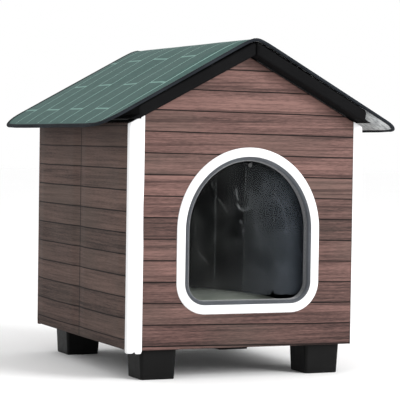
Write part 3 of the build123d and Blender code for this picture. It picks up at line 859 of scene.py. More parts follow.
def gable_sheet(face_y, facing, side, bottom, peak, rounding, depth, hole, swell, skin):
    """The cloth of a gable wall, skin thick."""
    outer = gable_surface(face_y, facing, side, bottom, peak, rounding, depth, hole, swell)
    inner = gable_surface(
        face_y - facing * skin,
        facing,
        side - skin,
        bottom + skin,
        peak - skin / np.cos(roof_pitch),
        rounding - skin,
        depth - skin,
        hole,
        swell,
    )
    return thick_sheet(outer, inner, wrap=True)


# %% Front and rear walls
cover_skin = 0.7 * mm
proud = 1.0 * mm
wall_rounding = 4.0 * mm
gable_rounding = 1.8 * mm
wall_wrap = 8.0 * mm
doorway_gap = 1.2 * mm
front_swell = 1.8 * mm
rear_swell = 2.4 * mm
cover_shape = (half_width + proud, wall_bottom - 0.6 * mm, gable_peak)
front_cover = make_piece(
    "front_wall_cover",
    gable_sheet(
        front_y - proud,
        -1,
        *cover_shape,
        gable_rounding,
        wall_wrap,
        doorway_gap,
        front_swell,
        cover_skin,
    ),
    [front_planks],
    "house",
    ["front_cover"],
)
rear_cover = make_piece(
    "rear_wall_cover",
    gable_sheet(
        rear_y + proud, 1, *cover_shape, gable_rounding, wall_wrap, None, rear_swell, cover_skin
    ),
    [front_planks],
    "house",
    ["rear_cover"],
)

# %% [markdown]
# The linings face the inside. They are the same sheet with smaller numbers, so the same
# function makes them, turned to face the other way.

# %% Gable linings
lining_skin = 0.6 * mm
lining_edge = 1 * mm
lining_swell = 0.8 * mm
inner_half = half_width - wall_thickness
floor_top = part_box("floor_lining")[1].z
lining_shape = (inner_half + 0.4 * mm, wall_bottom + 2 * mm, gable_peak - 1.5 * mm)
front_lining = make_piece(
    "front_wall_lining",
    gable_sheet(
        front_y + wall_thickness,
        1,
        *lining_shape,
        lining_edge,
        lining_edge,
        doorway_gap,
        0.0,
        lining_skin,
    ),
    [dark_lining],
    "house",
    ["front_lining"],
)
rear_lining = make_piece(
    "rear_wall_lining",
    gable_sheet(
        rear_y - wall_thickness,
        -1,
        *lining_shape,
        lining_edge,
        lining_edge,
        None,
        lining_swell,
        lining_skin,
    ),
    [dark_lining],
    "house",
    ["rear_lining"],
)

# %% [markdown]
# ## The side walls
# A side wall's cover lies over two foam leaves, with a sewn fold between them, so it is two
# shallow cushions side by side. Its lower rear corner is rounded, and it rolls under the floor.


# %% One sheet of a side wall
def rolled(start, end, rounding, depth, flat_count):
    """Places from start to end with a quarter turn at the end, and how far each drops back."""
    turn = np.linspace(0, np.pi / 2, 7)[1:]
    sense = np.sign(end - start)
    flat = np.linspace(start, end - sense * rounding, flat_count)
    place = np.concatenate([flat, end - sense * rounding * (1 - np.sin(turn)), [end]])
    drop = np.concatenate([0 * flat, rounding * (1 - np.cos(turn)), [depth]])
    return place, drop


side_corner = 16.0 * mm
fold_groove = 1.3 * mm


def side_surface(face_x, y_start, y_end, top, bottom, rounding, depth, swell, groove):
    """Right-hand wall sheet: x is face_x, less the roll at the edges, plus its swelling."""
    y, y_drop = rolled(y_start, y_end, rounding, depth, 90)
    level, z_drop = rolled(0.0, 1.0, rounding / (top - bottom), depth, 60)
    z_drop = z_drop * np.where(z_drop >= depth, 1, top - bottom)
    past = np.clip(y - (y_end - side_corner), 0, side_corner)
    foot = bottom + side_corner - np.sqrt(side_corner**2 - past**2)
    z = top + (foot[:, None] - top) * level[None]
    y = y[:, None] + 0 * z
    drop = np.minimum(y_drop[:, None] + z_drop[None], depth)
    seam = np.abs(y - middle_y)
    free = smooth_step((seam - 2 * mm) / (26 * mm)) * smooth_step((y_end - y - 4 * mm) / (30 * mm))
    free = free * smooth_step((y - y_start) / (26 * mm)) * smooth_step((z - foot[:, None]) / (26 * mm))
    free = free * smooth_step((top - z) / (20 * mm) + 0.35)
    slack = 1 + 0.5 * ripples(y, z, 23, 90 * mm)
    dip = groove * np.exp(-((seam / (1.6 * mm)) ** 2))
    x = face_x + swell * free * slack - dip - drop
    return np.stack([x, y, z], -1)


def side_sheet(face_x, y_start, y_end, top, bottom, rounding, depth, swell, groove, skin):
    """The cloth of the right-hand wall, skin thick."""
    outer = side_surface(face_x, y_start, y_end, top, bottom, rounding, depth, swell, groove)
    inner = side_surface(
        face_x - skin,
        y_start,
        y_end - skin,
        top,
        bottom + skin,
        rounding - skin,
        depth - skin,
        swell,
        groove,
    )
    return thick_sheet(outer, inner)


def mirrored(patch):
    """The same patch on the left, with its faces turned so that they still look outwards."""
    points = patch.points * [-1, 1, 1]
    return Patch(points, patch.faces[:, ::-1], patch.finish, patch.uv[:, ::-1])


# %% Side covers and linings
side_top = gable_peak - roof_tan * (half_width + proud)
side_patch = side_sheet(
    half_width + proud,
    front_y + 3 * mm,
    rear_y + 0.4 * mm,
    side_top,
    wall_bottom - 0.6 * mm,
    wall_rounding,
    wall_wrap,
    rear_swell,
    fold_groove,
    cover_skin,
)
lining_bottom = wall_bottom + 2 * mm
lining_top = gable_peak - roof_tan * (inner_half + 1 * mm) - 0.5 * mm
inside = side_sheet(
    -inner_half,
    front_y + wall_thickness + 0.6 * mm,
    rear_y - wall_thickness - 0.6 * mm,
    lining_top,
    lining_bottom,
    0.9 * mm,
    0.9 * mm,
    lining_swell,
    0.3 * mm,
    lining_skin,
)
inside = Patch(inside.points + [2 * inner_half, 0, 0], inside.faces, inside.finish, inside.uv)
for hand, cover_patch, lining_patch in (
    ("right", side_patch, inside),
    ("left", mirrored(side_patch), mirrored(inside)),
):
    cover = make_piece(
        f"{hand}_wall_cover", cover_patch, [shaded_side_planks], "house", [f"{hand}_cover"]
    )
    lining = make_piece(
        f"{hand}_wall_lining",
        lining_patch,
        [dark_lining],
        "house",
        [f"{hand}_lining"],
    )

# %% [markdown]
# The fold is sewn with dark thread. A line of dashes could be painted on, but real thread casts
# its own small shadow in the groove, so each stitch is a capsule of a few dozen faces.

# %% Stitches of the fold
seam_z = np.linspace(wall_bottom + 5 * mm, side_top - 14 * mm, 200)
for hand, sense in (("left", -1), ("right", 1)):
    seam_x = half_width + proud - fold_groove + 0.7 * mm
    path = np.stack([sense * seam_x + 0 * seam_z, middle_y + 0 * seam_z, seam_z], -1)
    seam = stitches(path, np.array([sense, 0.0, 0.0]), 3.3 * mm, 2.6 * mm, 1.3 * mm)
    make_piece(f"{hand}_fold_stitches", seam, [seam_thread], "house")

# %% [markdown]
# ## Tape over the wall tops
# When the roof is lifted off, the tops of the walls show. They are closed by a black tape sewn
# from the cover to the lining, over the foam. It is a flat profile carried along each wall's
# top, tilted with the slope on the side walls.

# %% Wall top tapes
top_tape = 0.4 * mm
tape_half = wall_thickness / 2 + 0.3 * mm
tape_profile = np.array(
    [
        (-tape_half, 0.0),
        (-tape_half + top_tape, top_tape),
        (tape_half - top_tape, top_tape),
        (tape_half, 0.0),
    ]
)


def tape_line(start, end, count=60):
    """Straight line of points between two places."""
    return np.linspace(start, end, count)


shoulder_z = gable_peak - roof_tan * half_width
for name, wall_y in (("front", front_y), ("rear", rear_y)):
    inward = wall_thickness / 2 * (1 if name == "front" else -1)
    left_end = [-half_width, wall_y + inward, shoulder_z]
    peak_place = [0.0, wall_y + inward, gable_peak]
    right_end = [half_width, wall_y + inward, shoulder_z]
    ridge_path = np.concatenate([tape_line(left_end, peak_place)[:-1], tape_line(peak_place, right_end)])
    tape = make_piece(
        f"{name}_wall_top_tape",
        sweep(ridge_path, np.array([0.0, 1.0, 0.0]), np.array([0.0, 0.0, 1.0]), tape_profile),
        [black_cloth],
        "house",
    )
for hand, sense in (("left", -1), ("right", 1)):
    tape_x = half_width - wall_thickness / 2
    tape_z = gable_peak - roof_tan * tape_x
    front_place = [sense * tape_x, front_y + 1 * mm, tape_z]
    rear_place = [sense * tape_x, rear_y - 1 * mm, tape_z]
    side_path = tape_line(front_place, rear_place)
    down_slope = np.array([sense * np.cos(roof_pitch), 0.0, -np.sin(roof_pitch)])
    off_slope = np.array([sense * np.sin(roof_pitch), 0.0, np.cos(roof_pitch)])
    tape = make_piece(
        f"{hand}_wall_top_tape",
        sweep(side_path, down_slope, off_slope, tape_profile * [1 / np.cos(roof_pitch), 1]),
        [black_cloth],
        "house",
    )

# %% [markdown]
# ## Floor sheets
# The floor has a lining above its board and a plain cloth below it; both lie level.


# %% Floor lining and underside
def floor_sheet(half_x, y_start, y_end, level, sag, skin):
    """A level sheet that sags by a cosine bowl between its edges."""
    x = np.linspace(-half_x, half_x, 60)[None]
    y = np.linspace(y_start, y_end, 64)[:, None]
    share = (y - y_start) / (y_end - y_start)
    bowl = np.cos(x / half_x * np.pi / 2) * np.sin(share * np.pi)
    z = level - sag * bowl * (1 + 0.3 * ripples(x, y, 5, 90 * mm))
    outer = np.stack([x + 0 * z, y + 0 * z, z], -1)
    return thick_sheet(outer, outer - [0, 0, skin])


base_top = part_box("base_cover")[1].z
base_piece = make_piece(
    "floor_underside",
    floor_sheet(
        half_width - 4 * mm, front_y + 5 * mm, rear_y - 5 * mm, base_top, 0.0, 0.8 * mm
    ),
    [black_cloth],
    "house",
    ["base_cover"],
)
floor_piece = make_piece(
    "floor_top_lining",
    floor_sheet(
        inner_half - 0.4 * mm,
        front_y + wall_thickness + 0.6 * mm,
        rear_y - wall_thickness - 0.6 * mm,
        floor_top,
        0.0,
        0.8 * mm,
    ),
    [dark_lining],
    "house",
    ["floor_lining"],
)

# %% [markdown]
# ## Trims of the doorway
# Two strips are sewn round the doorway: a broad white band, and a slate binding that wraps the
# wall's cut edge. Each is one profile carried round the same outline. The profile is given as
# distance from the door's edge and depth, so the strips follow the arch and both corners.

# %% White band and slate binding
edge_path = np.stack([edge_points[:, 0], np.full(len(edge_points), front_y), edge_points[:, 1]], -1)
edge_normal = np.stack([edge_out[:, 0], 0 * edge_out[:, 0], edge_out[:, 1]], -1)
to_front = np.array([0.0, -1.0, 0.0])


def soft_strip(inner_edge, outer_edge, base, thickness, fullness=4, groove=0.0):
    """Profile of a sewn strip: flat back, top that falls off at both edges like 1 - t^n."""
    t = np.linspace(-1, 1, 25)
    across = inner_edge + (outer_edge - inner_edge) * (t + 1) / 2
    top = base + thickness * (1 - np.abs(t) ** fullness) ** (1 / 2)
    top = top - groove * np.exp(-(((np.abs(t) - 0.72) / 0.07) ** 2))
    back = np.linspace(outer_edge, inner_edge, 9)
    return np.concatenate(
        [np.stack([across, top], -1), np.stack([back, 0 * back + base - 0.05 * mm], -1)]
    )


band_inner, band_outer = 5.0 * mm, 17.6 * mm
band_top = 1.5 * mm
band = make_piece(
    "doorway_band",
    sweep(
        edge_path,
        edge_normal,
        to_front,
        soft_strip(band_inner, band_outer, proud, band_top, groove=0.25 * mm),
        closed=True,
    ),
    [trim_finish],
    "house",
    ["door_frame_band"],
)


def rolled_binding(width, skin):
    """Profile of tape folded round the wall's cut edge, as one closed skin."""
    front_level = proud + 1.9 * mm
    back_level = -(wall_thickness + 1.3 * mm)
    turn = np.linspace(0, np.pi / 2, 9)
    bend = 3.2 * mm
    front_lip = np.linspace(width, bend, 8)[:-1]
    swell = 0.5 * mm * np.sin((front_lip - bend) / (width - bend) * np.pi)
    outer = np.concatenate(
        [
            np.stack([front_lip, front_level - 0.4 * mm + swell], -1),
            np.stack([bend * (1 - np.sin(turn)), front_level - bend * (1 - np.cos(turn))], -1),
            np.stack([bend * (1 - np.cos(turn)), back_level + bend * (1 - np.sin(turn))], -1),
            np.stack([np.linspace(bend, width, 8)[1:], np.full(7, back_level)], -1),
        ]
    )
    centre = np.array([width, (front_level + back_level) / 2])
    along = np.gradient(outer, axis=0)
    side = unit(np.stack([along[:, 1], -along[:, 0]], -1))
    toward = np.sign(((centre - outer) * side).sum(-1, keepdims=True))
    inner = outer + side * toward * skin
    return np.concatenate([outer, inner[::-1]])


binding = make_piece(
    "doorway_binding",
    sweep(edge_path, edge_normal, to_front, rolled_binding(binding_width, 0.8 * mm), closed=True),
    [slate_tape],
    "house",
    ["door_edge_binding"],
)


# %% [markdown]
# One row of stitches holds the binding and two rows hold the band. They lie on lines that are
# grown from the doorway's outline, so they keep their distance to the edge round both corners.


# %% Stitches round the doorway
def door_line(grow, depth):
    """Closed line round the doorway, grown by some distance, in front of the wall."""
    line = edge_path + grow * edge_normal + depth * to_front
    return np.concatenate([line, line[:1]])


binding_line = door_line(4.2 * mm, proud + 1.65 * mm)
binding_stitches = stitches(binding_line, to_front, 3.2 * mm, 2.0 * mm, 0.5 * mm)
make_piece("doorway_binding_stitches", binding_stitches, [pale_thread], "house")
band_stitches = joined(
    stitches(door_line(6.9 * mm, proud + 1.05 * mm), to_front, 3.4 * mm, 2.2 * mm, 0.45 * mm),
    stitches(door_line(15.8 * mm, proud + 1.05 * mm), to_front, 3.4 * mm, 2.2 * mm, 0.45 * mm),
)
make_piece("doorway_band_stitches", band_stitches, [white_thread], "house")

# %% [markdown]
# ## Corner trims
# Each front edge has a white strip folded round it. The left one lies mostly on the front, the
# right one half on each wall. Their lower ends are tucked into two small lobes, which hang a
# little below the wall.

# %% Corner trims
trim_skin = 0.9 * mm
trim_bend = 4.4 * mm


def corner_trim(on_front, on_side):
    """Strip round the right front edge: across it, front run, quarter turn, side run."""
    face = proud + trim_skin + 0.1 * mm
    outer_x = half_width + face
    outer_y = front_y - face
    turn = np.linspace(0, np.pi / 2, 9)
    front_run = np.linspace(half_width - on_front, outer_x - trim_bend, 22)[:-1]
    side_run = np.linspace(outer_y + trim_bend, front_y + on_side, 16)[1:]
    x = np.concatenate([front_run, outer_x - trim_bend * (1 - np.sin(turn)), 0 * side_run + outer_x])
    y = np.concatenate([0 * front_run + outer_y, outer_y + trim_bend * (1 - np.cos(turn)), side_run])
    line = np.stack([x, y], -1)
    along = np.gradient(line, axis=0)
    outward = unit(np.stack([along[:, 1], -along[:, 0]], -1))
    across = lengths(np.concatenate([line, 0 * line[:, :1]], 1))
    share = across / across[-1]
    lobe = np.where(share < 0.42, share / 0.42, (share - 0.42) / 0.58)
    hang = 3.2 * mm * (1 - np.abs(2 * lobe - 1) ** 6) + np.where(share < 0.42, 0.9 * mm, 0)
    foot = wall_bottom - hang
    top = gable_peak - roof_tan * np.abs(x) - 0.2 * mm
    level = 1 - np.linspace(0, 1, 80)[:, None]
    z = foot + (top - foot) * level
    crown = 0.35 * mm * (1 - np.abs(2 * share - 1) ** 6)
    slack = 0.22 * mm * ripples(z, across + 0 * z, 31, 45 * mm)
    swell = crown + slack * (1 - np.abs(2 * share - 1) ** 4)

    def points(offset):
        """The strip's grid, moved outwards by offset."""
        spot = line + outward * (offset + swell)[..., None]
        return np.concatenate([spot, z[..., None]], -1)

    return thick_sheet(points(0.0), points(-trim_skin))


trim_fronts = {"left": (19.5 * mm, 2.5 * mm), "right": (12.0 * mm, 11.0 * mm)}
for hand, widths in trim_fronts.items():
    patch = corner_trim(*widths)
    patch = mirrored(patch) if hand == "left" else patch
    trim = make_piece(
        f"{hand}_corner_trim", patch, [trim_finish], "house", [f"corner_trim_{hand}"]
    )

# %% [markdown]
# ## The roof cover
# The cover is one stiff printed sheet over both padded boards. It could be two flat planes,
# but the real sheet won't fold sharply: away from its bound ends it bends over the ridge in a
# wide curve and meets the boards lower down, and its eaves curl. One formula gives all that:
# the slope grows from 0 at the ridge to its full value as 1 - exp(-x / bend).

# %% Roof section
roof_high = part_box("roof_cover_right")[1]
ridge_z = roof_high.z
roof_half_length = roof_high.y
lip_turn_front = np.radians(3)
lip_turn_rear = {"right": np.radians(20), "left": np.radians(8)}
lip_length = 27.5 * mm
cover_thickness = 2 * mm
ridge_radius = 10 * mm
flat_reach = half_width + 23 * mm
plane_apex = ridge_z + ridge_radius * (1 / np.cos(roof_pitch) - 1)
flat_fall = ridge_z - (plane_apex - roof_tan * flat_reach)
ridge_crown = 1.2 * mm
bend_at_ends, bend_inside = 6.5 * mm, 20 * mm
corner_round = {"right": 22 * mm, "left": 36 * mm}


def ridge_bend(y):
    """How slowly the sheet bends over the ridge: little at the bound ends, more inside."""
    reach = 1 - smooth_step((np.abs(y) / roof_half_length - 0.80) / 0.2)
    wander = 1 + 0.12 * np.sin(y / (31 * mm)) + 0.08 * np.sin(y / (17 * mm) + 1)
    return bend_at_ends + (bend_inside - bend_at_ends) * reach * wander


def cover_section(y, hand):
    """Half of the section at each y: x, z, slope angle and length from the ridge.

    The lip past the wall turns down further, a little at the front and more at the rear.
    """
    bend = ridge_bend(y)[:, None]
    spread = np.linspace(0, 1, 90)[None]
    x = flat_reach * spread**1.6
    fade = np.exp(-x / bend)
    fall = flat_fall + ridge_crown
    steep = fall / (flat_reach - bend * (1 - np.exp(-flat_reach / bend)))
    z = ridge_z + ridge_crown - steep * (x - bend * (1 - fade))
    angle = np.arctan(steep * (1 - fade))
    turn = np.linspace(0, 1, 20)[None, 1:]
    start = angle[:, -1:]
    rearward = smooth_step((y[:, None] + roof_half_length) / (2 * roof_half_length))
    lip_turn = lip_turn_front + (lip_turn_rear[hand] - lip_turn_front) * rearward
    lip_radius = lip_length / lip_turn
    lip_angle = start + lip_turn * turn
    lip_x = flat_reach + lip_radius * (np.sin(lip_angle) - np.sin(start))
    lip_z = z[:, -1:] + lip_radius * (np.cos(lip_angle) - np.cos(start))
    x = np.concatenate([x + 0 * z, lip_x], 1)
    z = np.concatenate([z, lip_z], 1)
    angle = np.concatenate([angle, lip_angle], 1)
    step = np.hypot(np.diff(x, axis=1), np.diff(z, axis=1))
    down = np.concatenate([0 * x[:, :1], np.cumsum(step, 1)], 1)
    return x, z, angle, down


sample_x, _, _, sample_down = cover_section(np.array([0.0]), "right")
eave_reach = sample_x[0, -1]


def cover_width(down, hand):
    """Half length of the sheet, less the round corner over the last stretch down the slope."""
    radius = corner_round[hand]
    past = np.clip(down - (down[:, -1:] - radius), 0, radius)
    return roof_half_length - radius + np.sqrt(radius**2 - past**2)


def cover_half(along, offset, hand):
    """Grid over one slope, from ridge to eave, at an offset from its outer face; and its map."""
    row = along[:, None]
    x, z, angle, down = cover_section(along * roof_half_length, hand)
    y = row * cover_width(down, hand)
    inside = smooth_step((1 - np.abs(row)) / 0.12) * smooth_step((eave_reach - x) / (30 * mm))
    wave = 0.6 * mm * ripples(x, y, 41, 110 * mm) * inside * smooth_step(x / (12 * mm))
    lift = offset + wave
    spot = np.stack([x + lift * np.sin(angle), y, z + lift * np.cos(angle)], -1)
    return spot, np.stack([down, y], -1)


def cover_points(along, offset):
    """Grid over the whole sheet, left eave to right eave, and its map."""
    right_half, right_map = cover_half(along, offset, "right")
    left_half, left_map = cover_half(along, offset, "left")
    left_half = left_half[:, :0:-1] * [-1, 1, 1]
    left_map = left_map[:, :0:-1] * [-1, 1]
    return (
        np.concatenate([left_half, right_half], 1),
        np.concatenate([left_map, right_map], 1),
    )


along_roof = np.sin(np.linspace(-np.pi / 2, np.pi / 2, 120))
along_roof = 0.55 * along_roof + 0.45 * np.linspace(-1, 1, 120)
outer, cloth = cover_points(along_roof, 0.0)
inner, _ = cover_points(along_roof, -cover_thickness)
roof_cover = make_piece(
    "roof_cover",
    thick_sheet(outer, inner, uv=cloth, inside_finish=1),
    [shingles, pale_backing],
    None,
    ["roof_cover_right", "roof_cover_left"],
)
print("eave reach", round(eave_reach, 4), "slope length", round(sample_down[0, -1], 4))

# %% [markdown]
# The binding is a tape folded over the sheet's free edge. Its path is the sheet's own border,
# read from the grid that was just made, so both keep the same curl and the same ridge.

# %% Roof binding
border = np.concatenate(
    [
        outer[0] + inner[0],
        (outer[:, -1] + inner[:, -1])[1:],
        (outer[-1] + inner[-1])[::-1][1:],
        (outer[:, 0] + inner[:, 0])[::-1][1:-1],
    ]
) / 2
border_up = unit(
    np.concatenate(
        [
            outer[0] - inner[0],
            (outer[:, -1] - inner[:, -1])[1:],
            (outer[-1] - inner[-1])[::-1][1:],
            (outer[:, 0] - inner[:, 0])[::-1][1:-1],
        ]
    )
)


def resampled(columns, along, count):
    """Columns of values at even places along a closed path."""
    places = np.linspace(0, along[-1], count, endpoint=False)
    return np.stack([np.interp(places, along, c) for c in columns.T], -1)


closed_border = np.concatenate([border, border[:1]])
closed_up = np.concatenate([border_up, border_up[:1]])
along_border = lengths(closed_border)
border = resampled(closed_border, along_border, 700)
border_up = unit(resampled(closed_up, along_border, 700))
tangent = unit(np.roll(border, -1, 0) - np.roll(border, 1, 0))
border_out = unit(np.cross(tangent, border_up))
if (border_out * border).sum(-1).mean() < 0:
    border_out = -border_out


def folded_tape(width, half_gap, skin, nose):
    """Profile of tape folded over a sheet's edge: two legs and a round nose, skin thick."""
    turn = np.linspace(np.pi / 2, -np.pi / 2, 9)
    leg = np.linspace(-width, 0, 7)[:-1]

    def path(height, reach):
        """Upper leg, half round nose and lower leg at this height above the middle."""
        top = np.stack([leg, height - 0.25 * mm * (leg / width) ** 2 * (reach > nose)], -1)
        tip = np.stack([reach * np.cos(turn), height * np.sin(turn)], -1)
        low = (top * [1, -1])[::-1]
        return np.concatenate([top, tip, low])

    return np.concatenate([path(half_gap + skin, nose + skin), path(half_gap, nose)[::-1]])


binding_patch = sweep(
    border, border_out, border_up, folded_tape(3.6 * mm, 1.1 * mm, 0.8 * mm, 0.5 * mm), closed=True
)
roof_binding = make_piece(
    "roof_edge_binding",
    binding_patch,
    [roof_tape],
    None,
    ["roof_binding_right", "roof_binding_left"],
)
stitch_line = border - 3.0 * mm * border_out
above_line = stitch_line + 1.85 * mm * border_up
below_line = stitch_line - 1.85 * mm * border_up
roof_stitches = make_piece(
    "roof_binding_stitches",
    joined(
        stitches(above_line, border_up, 3.6 * mm, 2.4 * mm, 0.45 * mm),
        stitches(below_line, border_up, 3.6 * mm, 2.4 * mm, 0.45 * mm),
    ),
    [dark_thread],
    None,
)

# %% [markdown]
# The ridge is a hinge, and these three pieces cross it. Splitting them there would open a gap when the
# roof folds, so they stay whole, on no body, with their places baked into their meshes.

# %% Baking the roof pieces in place
for piece in (roof_cover, roof_binding, roof_stitches):
    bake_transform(piece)

# %% [markdown]
# ## The padded roof boards
# Each board is foam in a black sleeve: mitred where the two meet under the ridge, soft along
# its front and rear ends, round at the top of its outer end, and with a seam lip below it.

# %% Padded boards
pad_top = 2.8 * mm
pad_under = 18.2 * mm
pad_heel = half_width - 5 * mm
pad_end_round = 3.2 * mm


def rounded_loop(corners, radii, count):
    """Closed outline through rounded corners, with points at even places along it."""
    before = unit(np.roll(corners, 1, 0) - corners)
    after = unit(np.roll(corners, -1, 0) - corners)
    half = np.arccos(np.clip((before * after).sum(-1), -1, 1)) / 2
    radii = np.asarray(radii)
    tangent_length = (radii / np.tan(half))[:, None]
    centre = corners + unit(before + after) * (radii / np.sin(half))[:, None]
    first = corners + before * tangent_length - centre
    last = corners + after * tangent_length - centre
    share = np.linspace(0, 1, 9)[None, :, None]
    spoke = unit(first[:, None] * (1 - share) + last[:, None] * share)
    arcs = centre[:, None] + spoke * radii[:, None, None]
    loop = arcs.reshape(-1, 2)
    loop = np.concatenate([loop, loop[:1]])
    return resampled(loop, lengths(loop), count)


def inset_corners(corners, distance):
    """Corners of a clockwise outline moved in: where neighbouring edges, moved in, cross."""
    edge = unit(np.roll(corners, -1, 0) - corners)
    inward = np.stack([edge[:, 1], -edge[:, 0]], -1)
    c = (inward * corners).sum(-1) + distance
    before, c_before = np.roll(inward, 1, 0), np.roll(c, 1)
    det = before[:, 0] * inward[:, 1] - before[:, 1] * inward[:, 0]
    x = (c_before * inward[:, 1] - c * before[:, 1]) / det
    z = (before[:, 0] * c - inward[:, 0] * c_before) / det
    return np.stack([x, z], -1)


def roof_line(drop, x):
    """Height at x of the slope that lies drop below the cover's outer plane."""
    return plane_apex - drop / np.cos(roof_pitch) - roof_tan * x


def pad_patch():
    """Loops of the board's section from its front end to its rear end, and flat end seams."""
    ridge_gap = 0.4 * mm
    end_x = pad_heel + 3 * mm
    corners = np.array(
        [
            (ridge_gap, roof_line(pad_under, ridge_gap)),
            (ridge_gap, roof_line(pad_top, 4 * mm)),
            (5 * mm, roof_line(pad_top, 5 * mm)),
            (end_x, roof_line(pad_top, end_x)),
            (pad_heel, roof_line(pad_under, pad_heel)),
        ]
    )
    radii = np.array([1.5, 1.5, 2.5, 6.5, 1.8]) * mm
    turn = np.linspace(0, np.pi / 2, 6)
    inset = pad_end_round * (1 - np.sin(turn))
    back = pad_end_round * (1 - np.cos(turn))
    count = 220
    loops = [rounded_loop(inset_corners(corners, d), radii - 0.35 * d, count) for d in inset]
    middle = loops[0].copy()
    middle[:, 1] = (roof_line(pad_top, middle[:, 0]) + roof_line(pad_under, middle[:, 0])) / 2
    pole = middle.mean(0) + 0 * middle
    front_end, rear_end = -roof_half_length + 0.4 * mm, roof_half_length - 0.4 * mm
    bulge = 0.35 * mm
    flat = [(pole, -bulge)]
    for share in (0.98, 0.66, 0.33):
        flat.append((loops[0] * (1 - share) + middle * share, -bulge * np.sin(share * np.pi / 2)))
    rows = flat + [(loop, b) for loop, b in zip(loops, back)]
    ys = [front_end + b for _, b in rows]
    inner_rows = np.linspace(front_end + pad_end_round, rear_end - pad_end_round, 60)[1:-1]
    stack = [loop for loop, _ in rows] + [loops[-1]] * len(inner_rows) + [l for l, _ in rows[::-1]]
    ys = ys + list(inner_rows) + [rear_end - b for _, b in rows[::-1]]
    section = np.stack(stack)
    y = np.array(ys)[:, None] + 0 * section[..., 0]
    free = smooth_step((roof_half_length - np.abs(y)) / (14 * mm))
    edge = smooth_step((section[..., 0] - 4 * mm) / (10 * mm)) * smooth_step(
        (pad_heel - section[..., 0]) / (14 * mm)
    )
    dent = 0.45 * mm * ripples(section[..., 0], y, 53, 70 * mm) * free * edge
    return grid(np.stack([section[..., 0], y, section[..., 1] + dent], -1), wrap_columns=True)


def seam_lip():
    """Pointed lip sewn at the board's lower outer edge, running front to rear."""
    heel_z = roof_line(pad_under, pad_heel)
    profile = np.array(
        [
            (-2.5, 0.3),
            (3.0, 0.0),
            (8.2, 0.1),
            (8.6, 0.5),
            (8.0, 1.0),
            (4.0, 2.6),
            (0.5, 5.4),
            (-2.0, 5.0),
        ]
    ) * mm
    y = np.linspace(-roof_half_length + 1.2 * mm, roof_half_length - 1.2 * mm, 80)
    waver = 0.35 * mm * np.sin(y / (23 * mm))
    path = np.stack([pad_heel + waver, y, heel_z + 0 * y], -1)
    return sweep(path, np.array([1.0, 0, 0]), np.array([0, 0, 1.0]), profile[::-1])


right_pad = joined(pad_patch(), seam_lip())
for hand in ("right", "left"):
    patch = right_pad if hand == "right" else mirrored(right_pad)
    stands = [f"roof_sleeve_{hand}", f"roof_board_{hand}"]
    pad = make_piece(
        f"roof_pad_{hand}", patch, [black_cloth], f"roof_{hand}", stands
    )

# %% [markdown]
# ## The clear strip door
# The door is one clear sheet, slit into four strips below an uncut head. A flat sheet would be
# invisible. What shows on the real one is its cut edges, the soft curves of strips that were
# rolled for shipping, and a few sharp creases, so each strip is a curved surface.

# %% Marks of wear and painted glints on the clear sheet
strip_skin = 0.5 * mm
edge_glow, edge_glow_width = 0.024, 0.4 * mm
# The marks are creases and scratches, and a few are glints painted on the sheet.
# Each mark: its points x, z in mm, its width in mm and its strength.
wear_and_glint_marks = [
    ([(-66, 217), (-68, 196), (-67, 175), (-60, 160), (-49, 148)], 1.1, 0.035),
    ([(-39.5, 236), (-31, 227), (-23.5, 215)], 0.6, 0.06),
    ([(-46, 252), (-43, 248)], 1.4, 0.10),
    ([(-11, 245), (-10, 238), (-8, 232)], 1.3, 0.11),
    ([(-8, 224), (-5, 219), (1.5, 217.5), (7, 220.5)], 1.4, 0.13),
    ([(7, 222), (10.5, 231), (8, 241)], 3.0, 0.035),
    ([(-4.7, 203.5), (-1.5, 201)], 1.2, 0.07),
    ([(0.2, 192), (1.5, 189.5)], 1.2, 0.07),
    ([(-10, 178), (-9, 172)], 1.0, 0.05),
    ([(33, 247), (22, 232), (18, 219), (19, 196), (25, 174)], 6.0, 0.022),
    ([(46, 237.5), (57, 221), (63, 203), (62, 189)], 2.0, 0.04),
    ([(80, 173), (82.5, 163), (86.5, 153)], 0.8, 0.10),
    ([(51, 158.5), (51.5, 157)], 1.5, 0.08),
    ([(49.5, 147), (52.5, 149)], 1.1, 0.09),
    ([(23, 263), (34, 264.5)], 0.6, 0.07),
]


def wear(x, z):
    """Strength of the marks at x, z: exp(-(distance to the mark's line / its width)^2)."""
    total = 0 * x
    for line, width, strength in wear_and_glint_marks:
        start = np.array(line[:-1]) * mm
        run = np.diff(line, axis=0) * mm
        dx, dz = x[..., None] - start[:, 0], z[..., None] - start[:, 1]
        share = np.clip((dx * run[:, 0] + dz * run[:, 1]) / (run**2).sum(1), 0, 1)
        gap = np.hypot(dx - share * run[:, 0], dz - share * run[:, 1]).min(-1)
        total = total + strength * np.exp(-((gap / (width * mm)) ** 2))
    return total


def mark_wear_and_glints(piece, low, high):
    """Stores at every vertex the strength of the marks with their painted glints, and of the light that a
    cut edge holds.
    """
    mesh = piece.data
    place = np.zeros(len(mesh.vertices) * 3)
    mesh.vertices.foreach_get("co", place)
    place = place.reshape(-1, 3)
    x, z = place[:, 0], place[:, 2]
    edge = np.minimum(x - low.x, high.x - x)
    uneven = 1 + 0.6 * ripples(x, z, 3, 30 * mm)
    held = edge_glow * np.exp(-((edge / edge_glow_width) ** 2)) * uneven
    layer = mesh.attributes.new("wear", "FLOAT", "POINT")
    layer.data.foreach_set("value", (wear(x, z) + held).astype(np.float32))


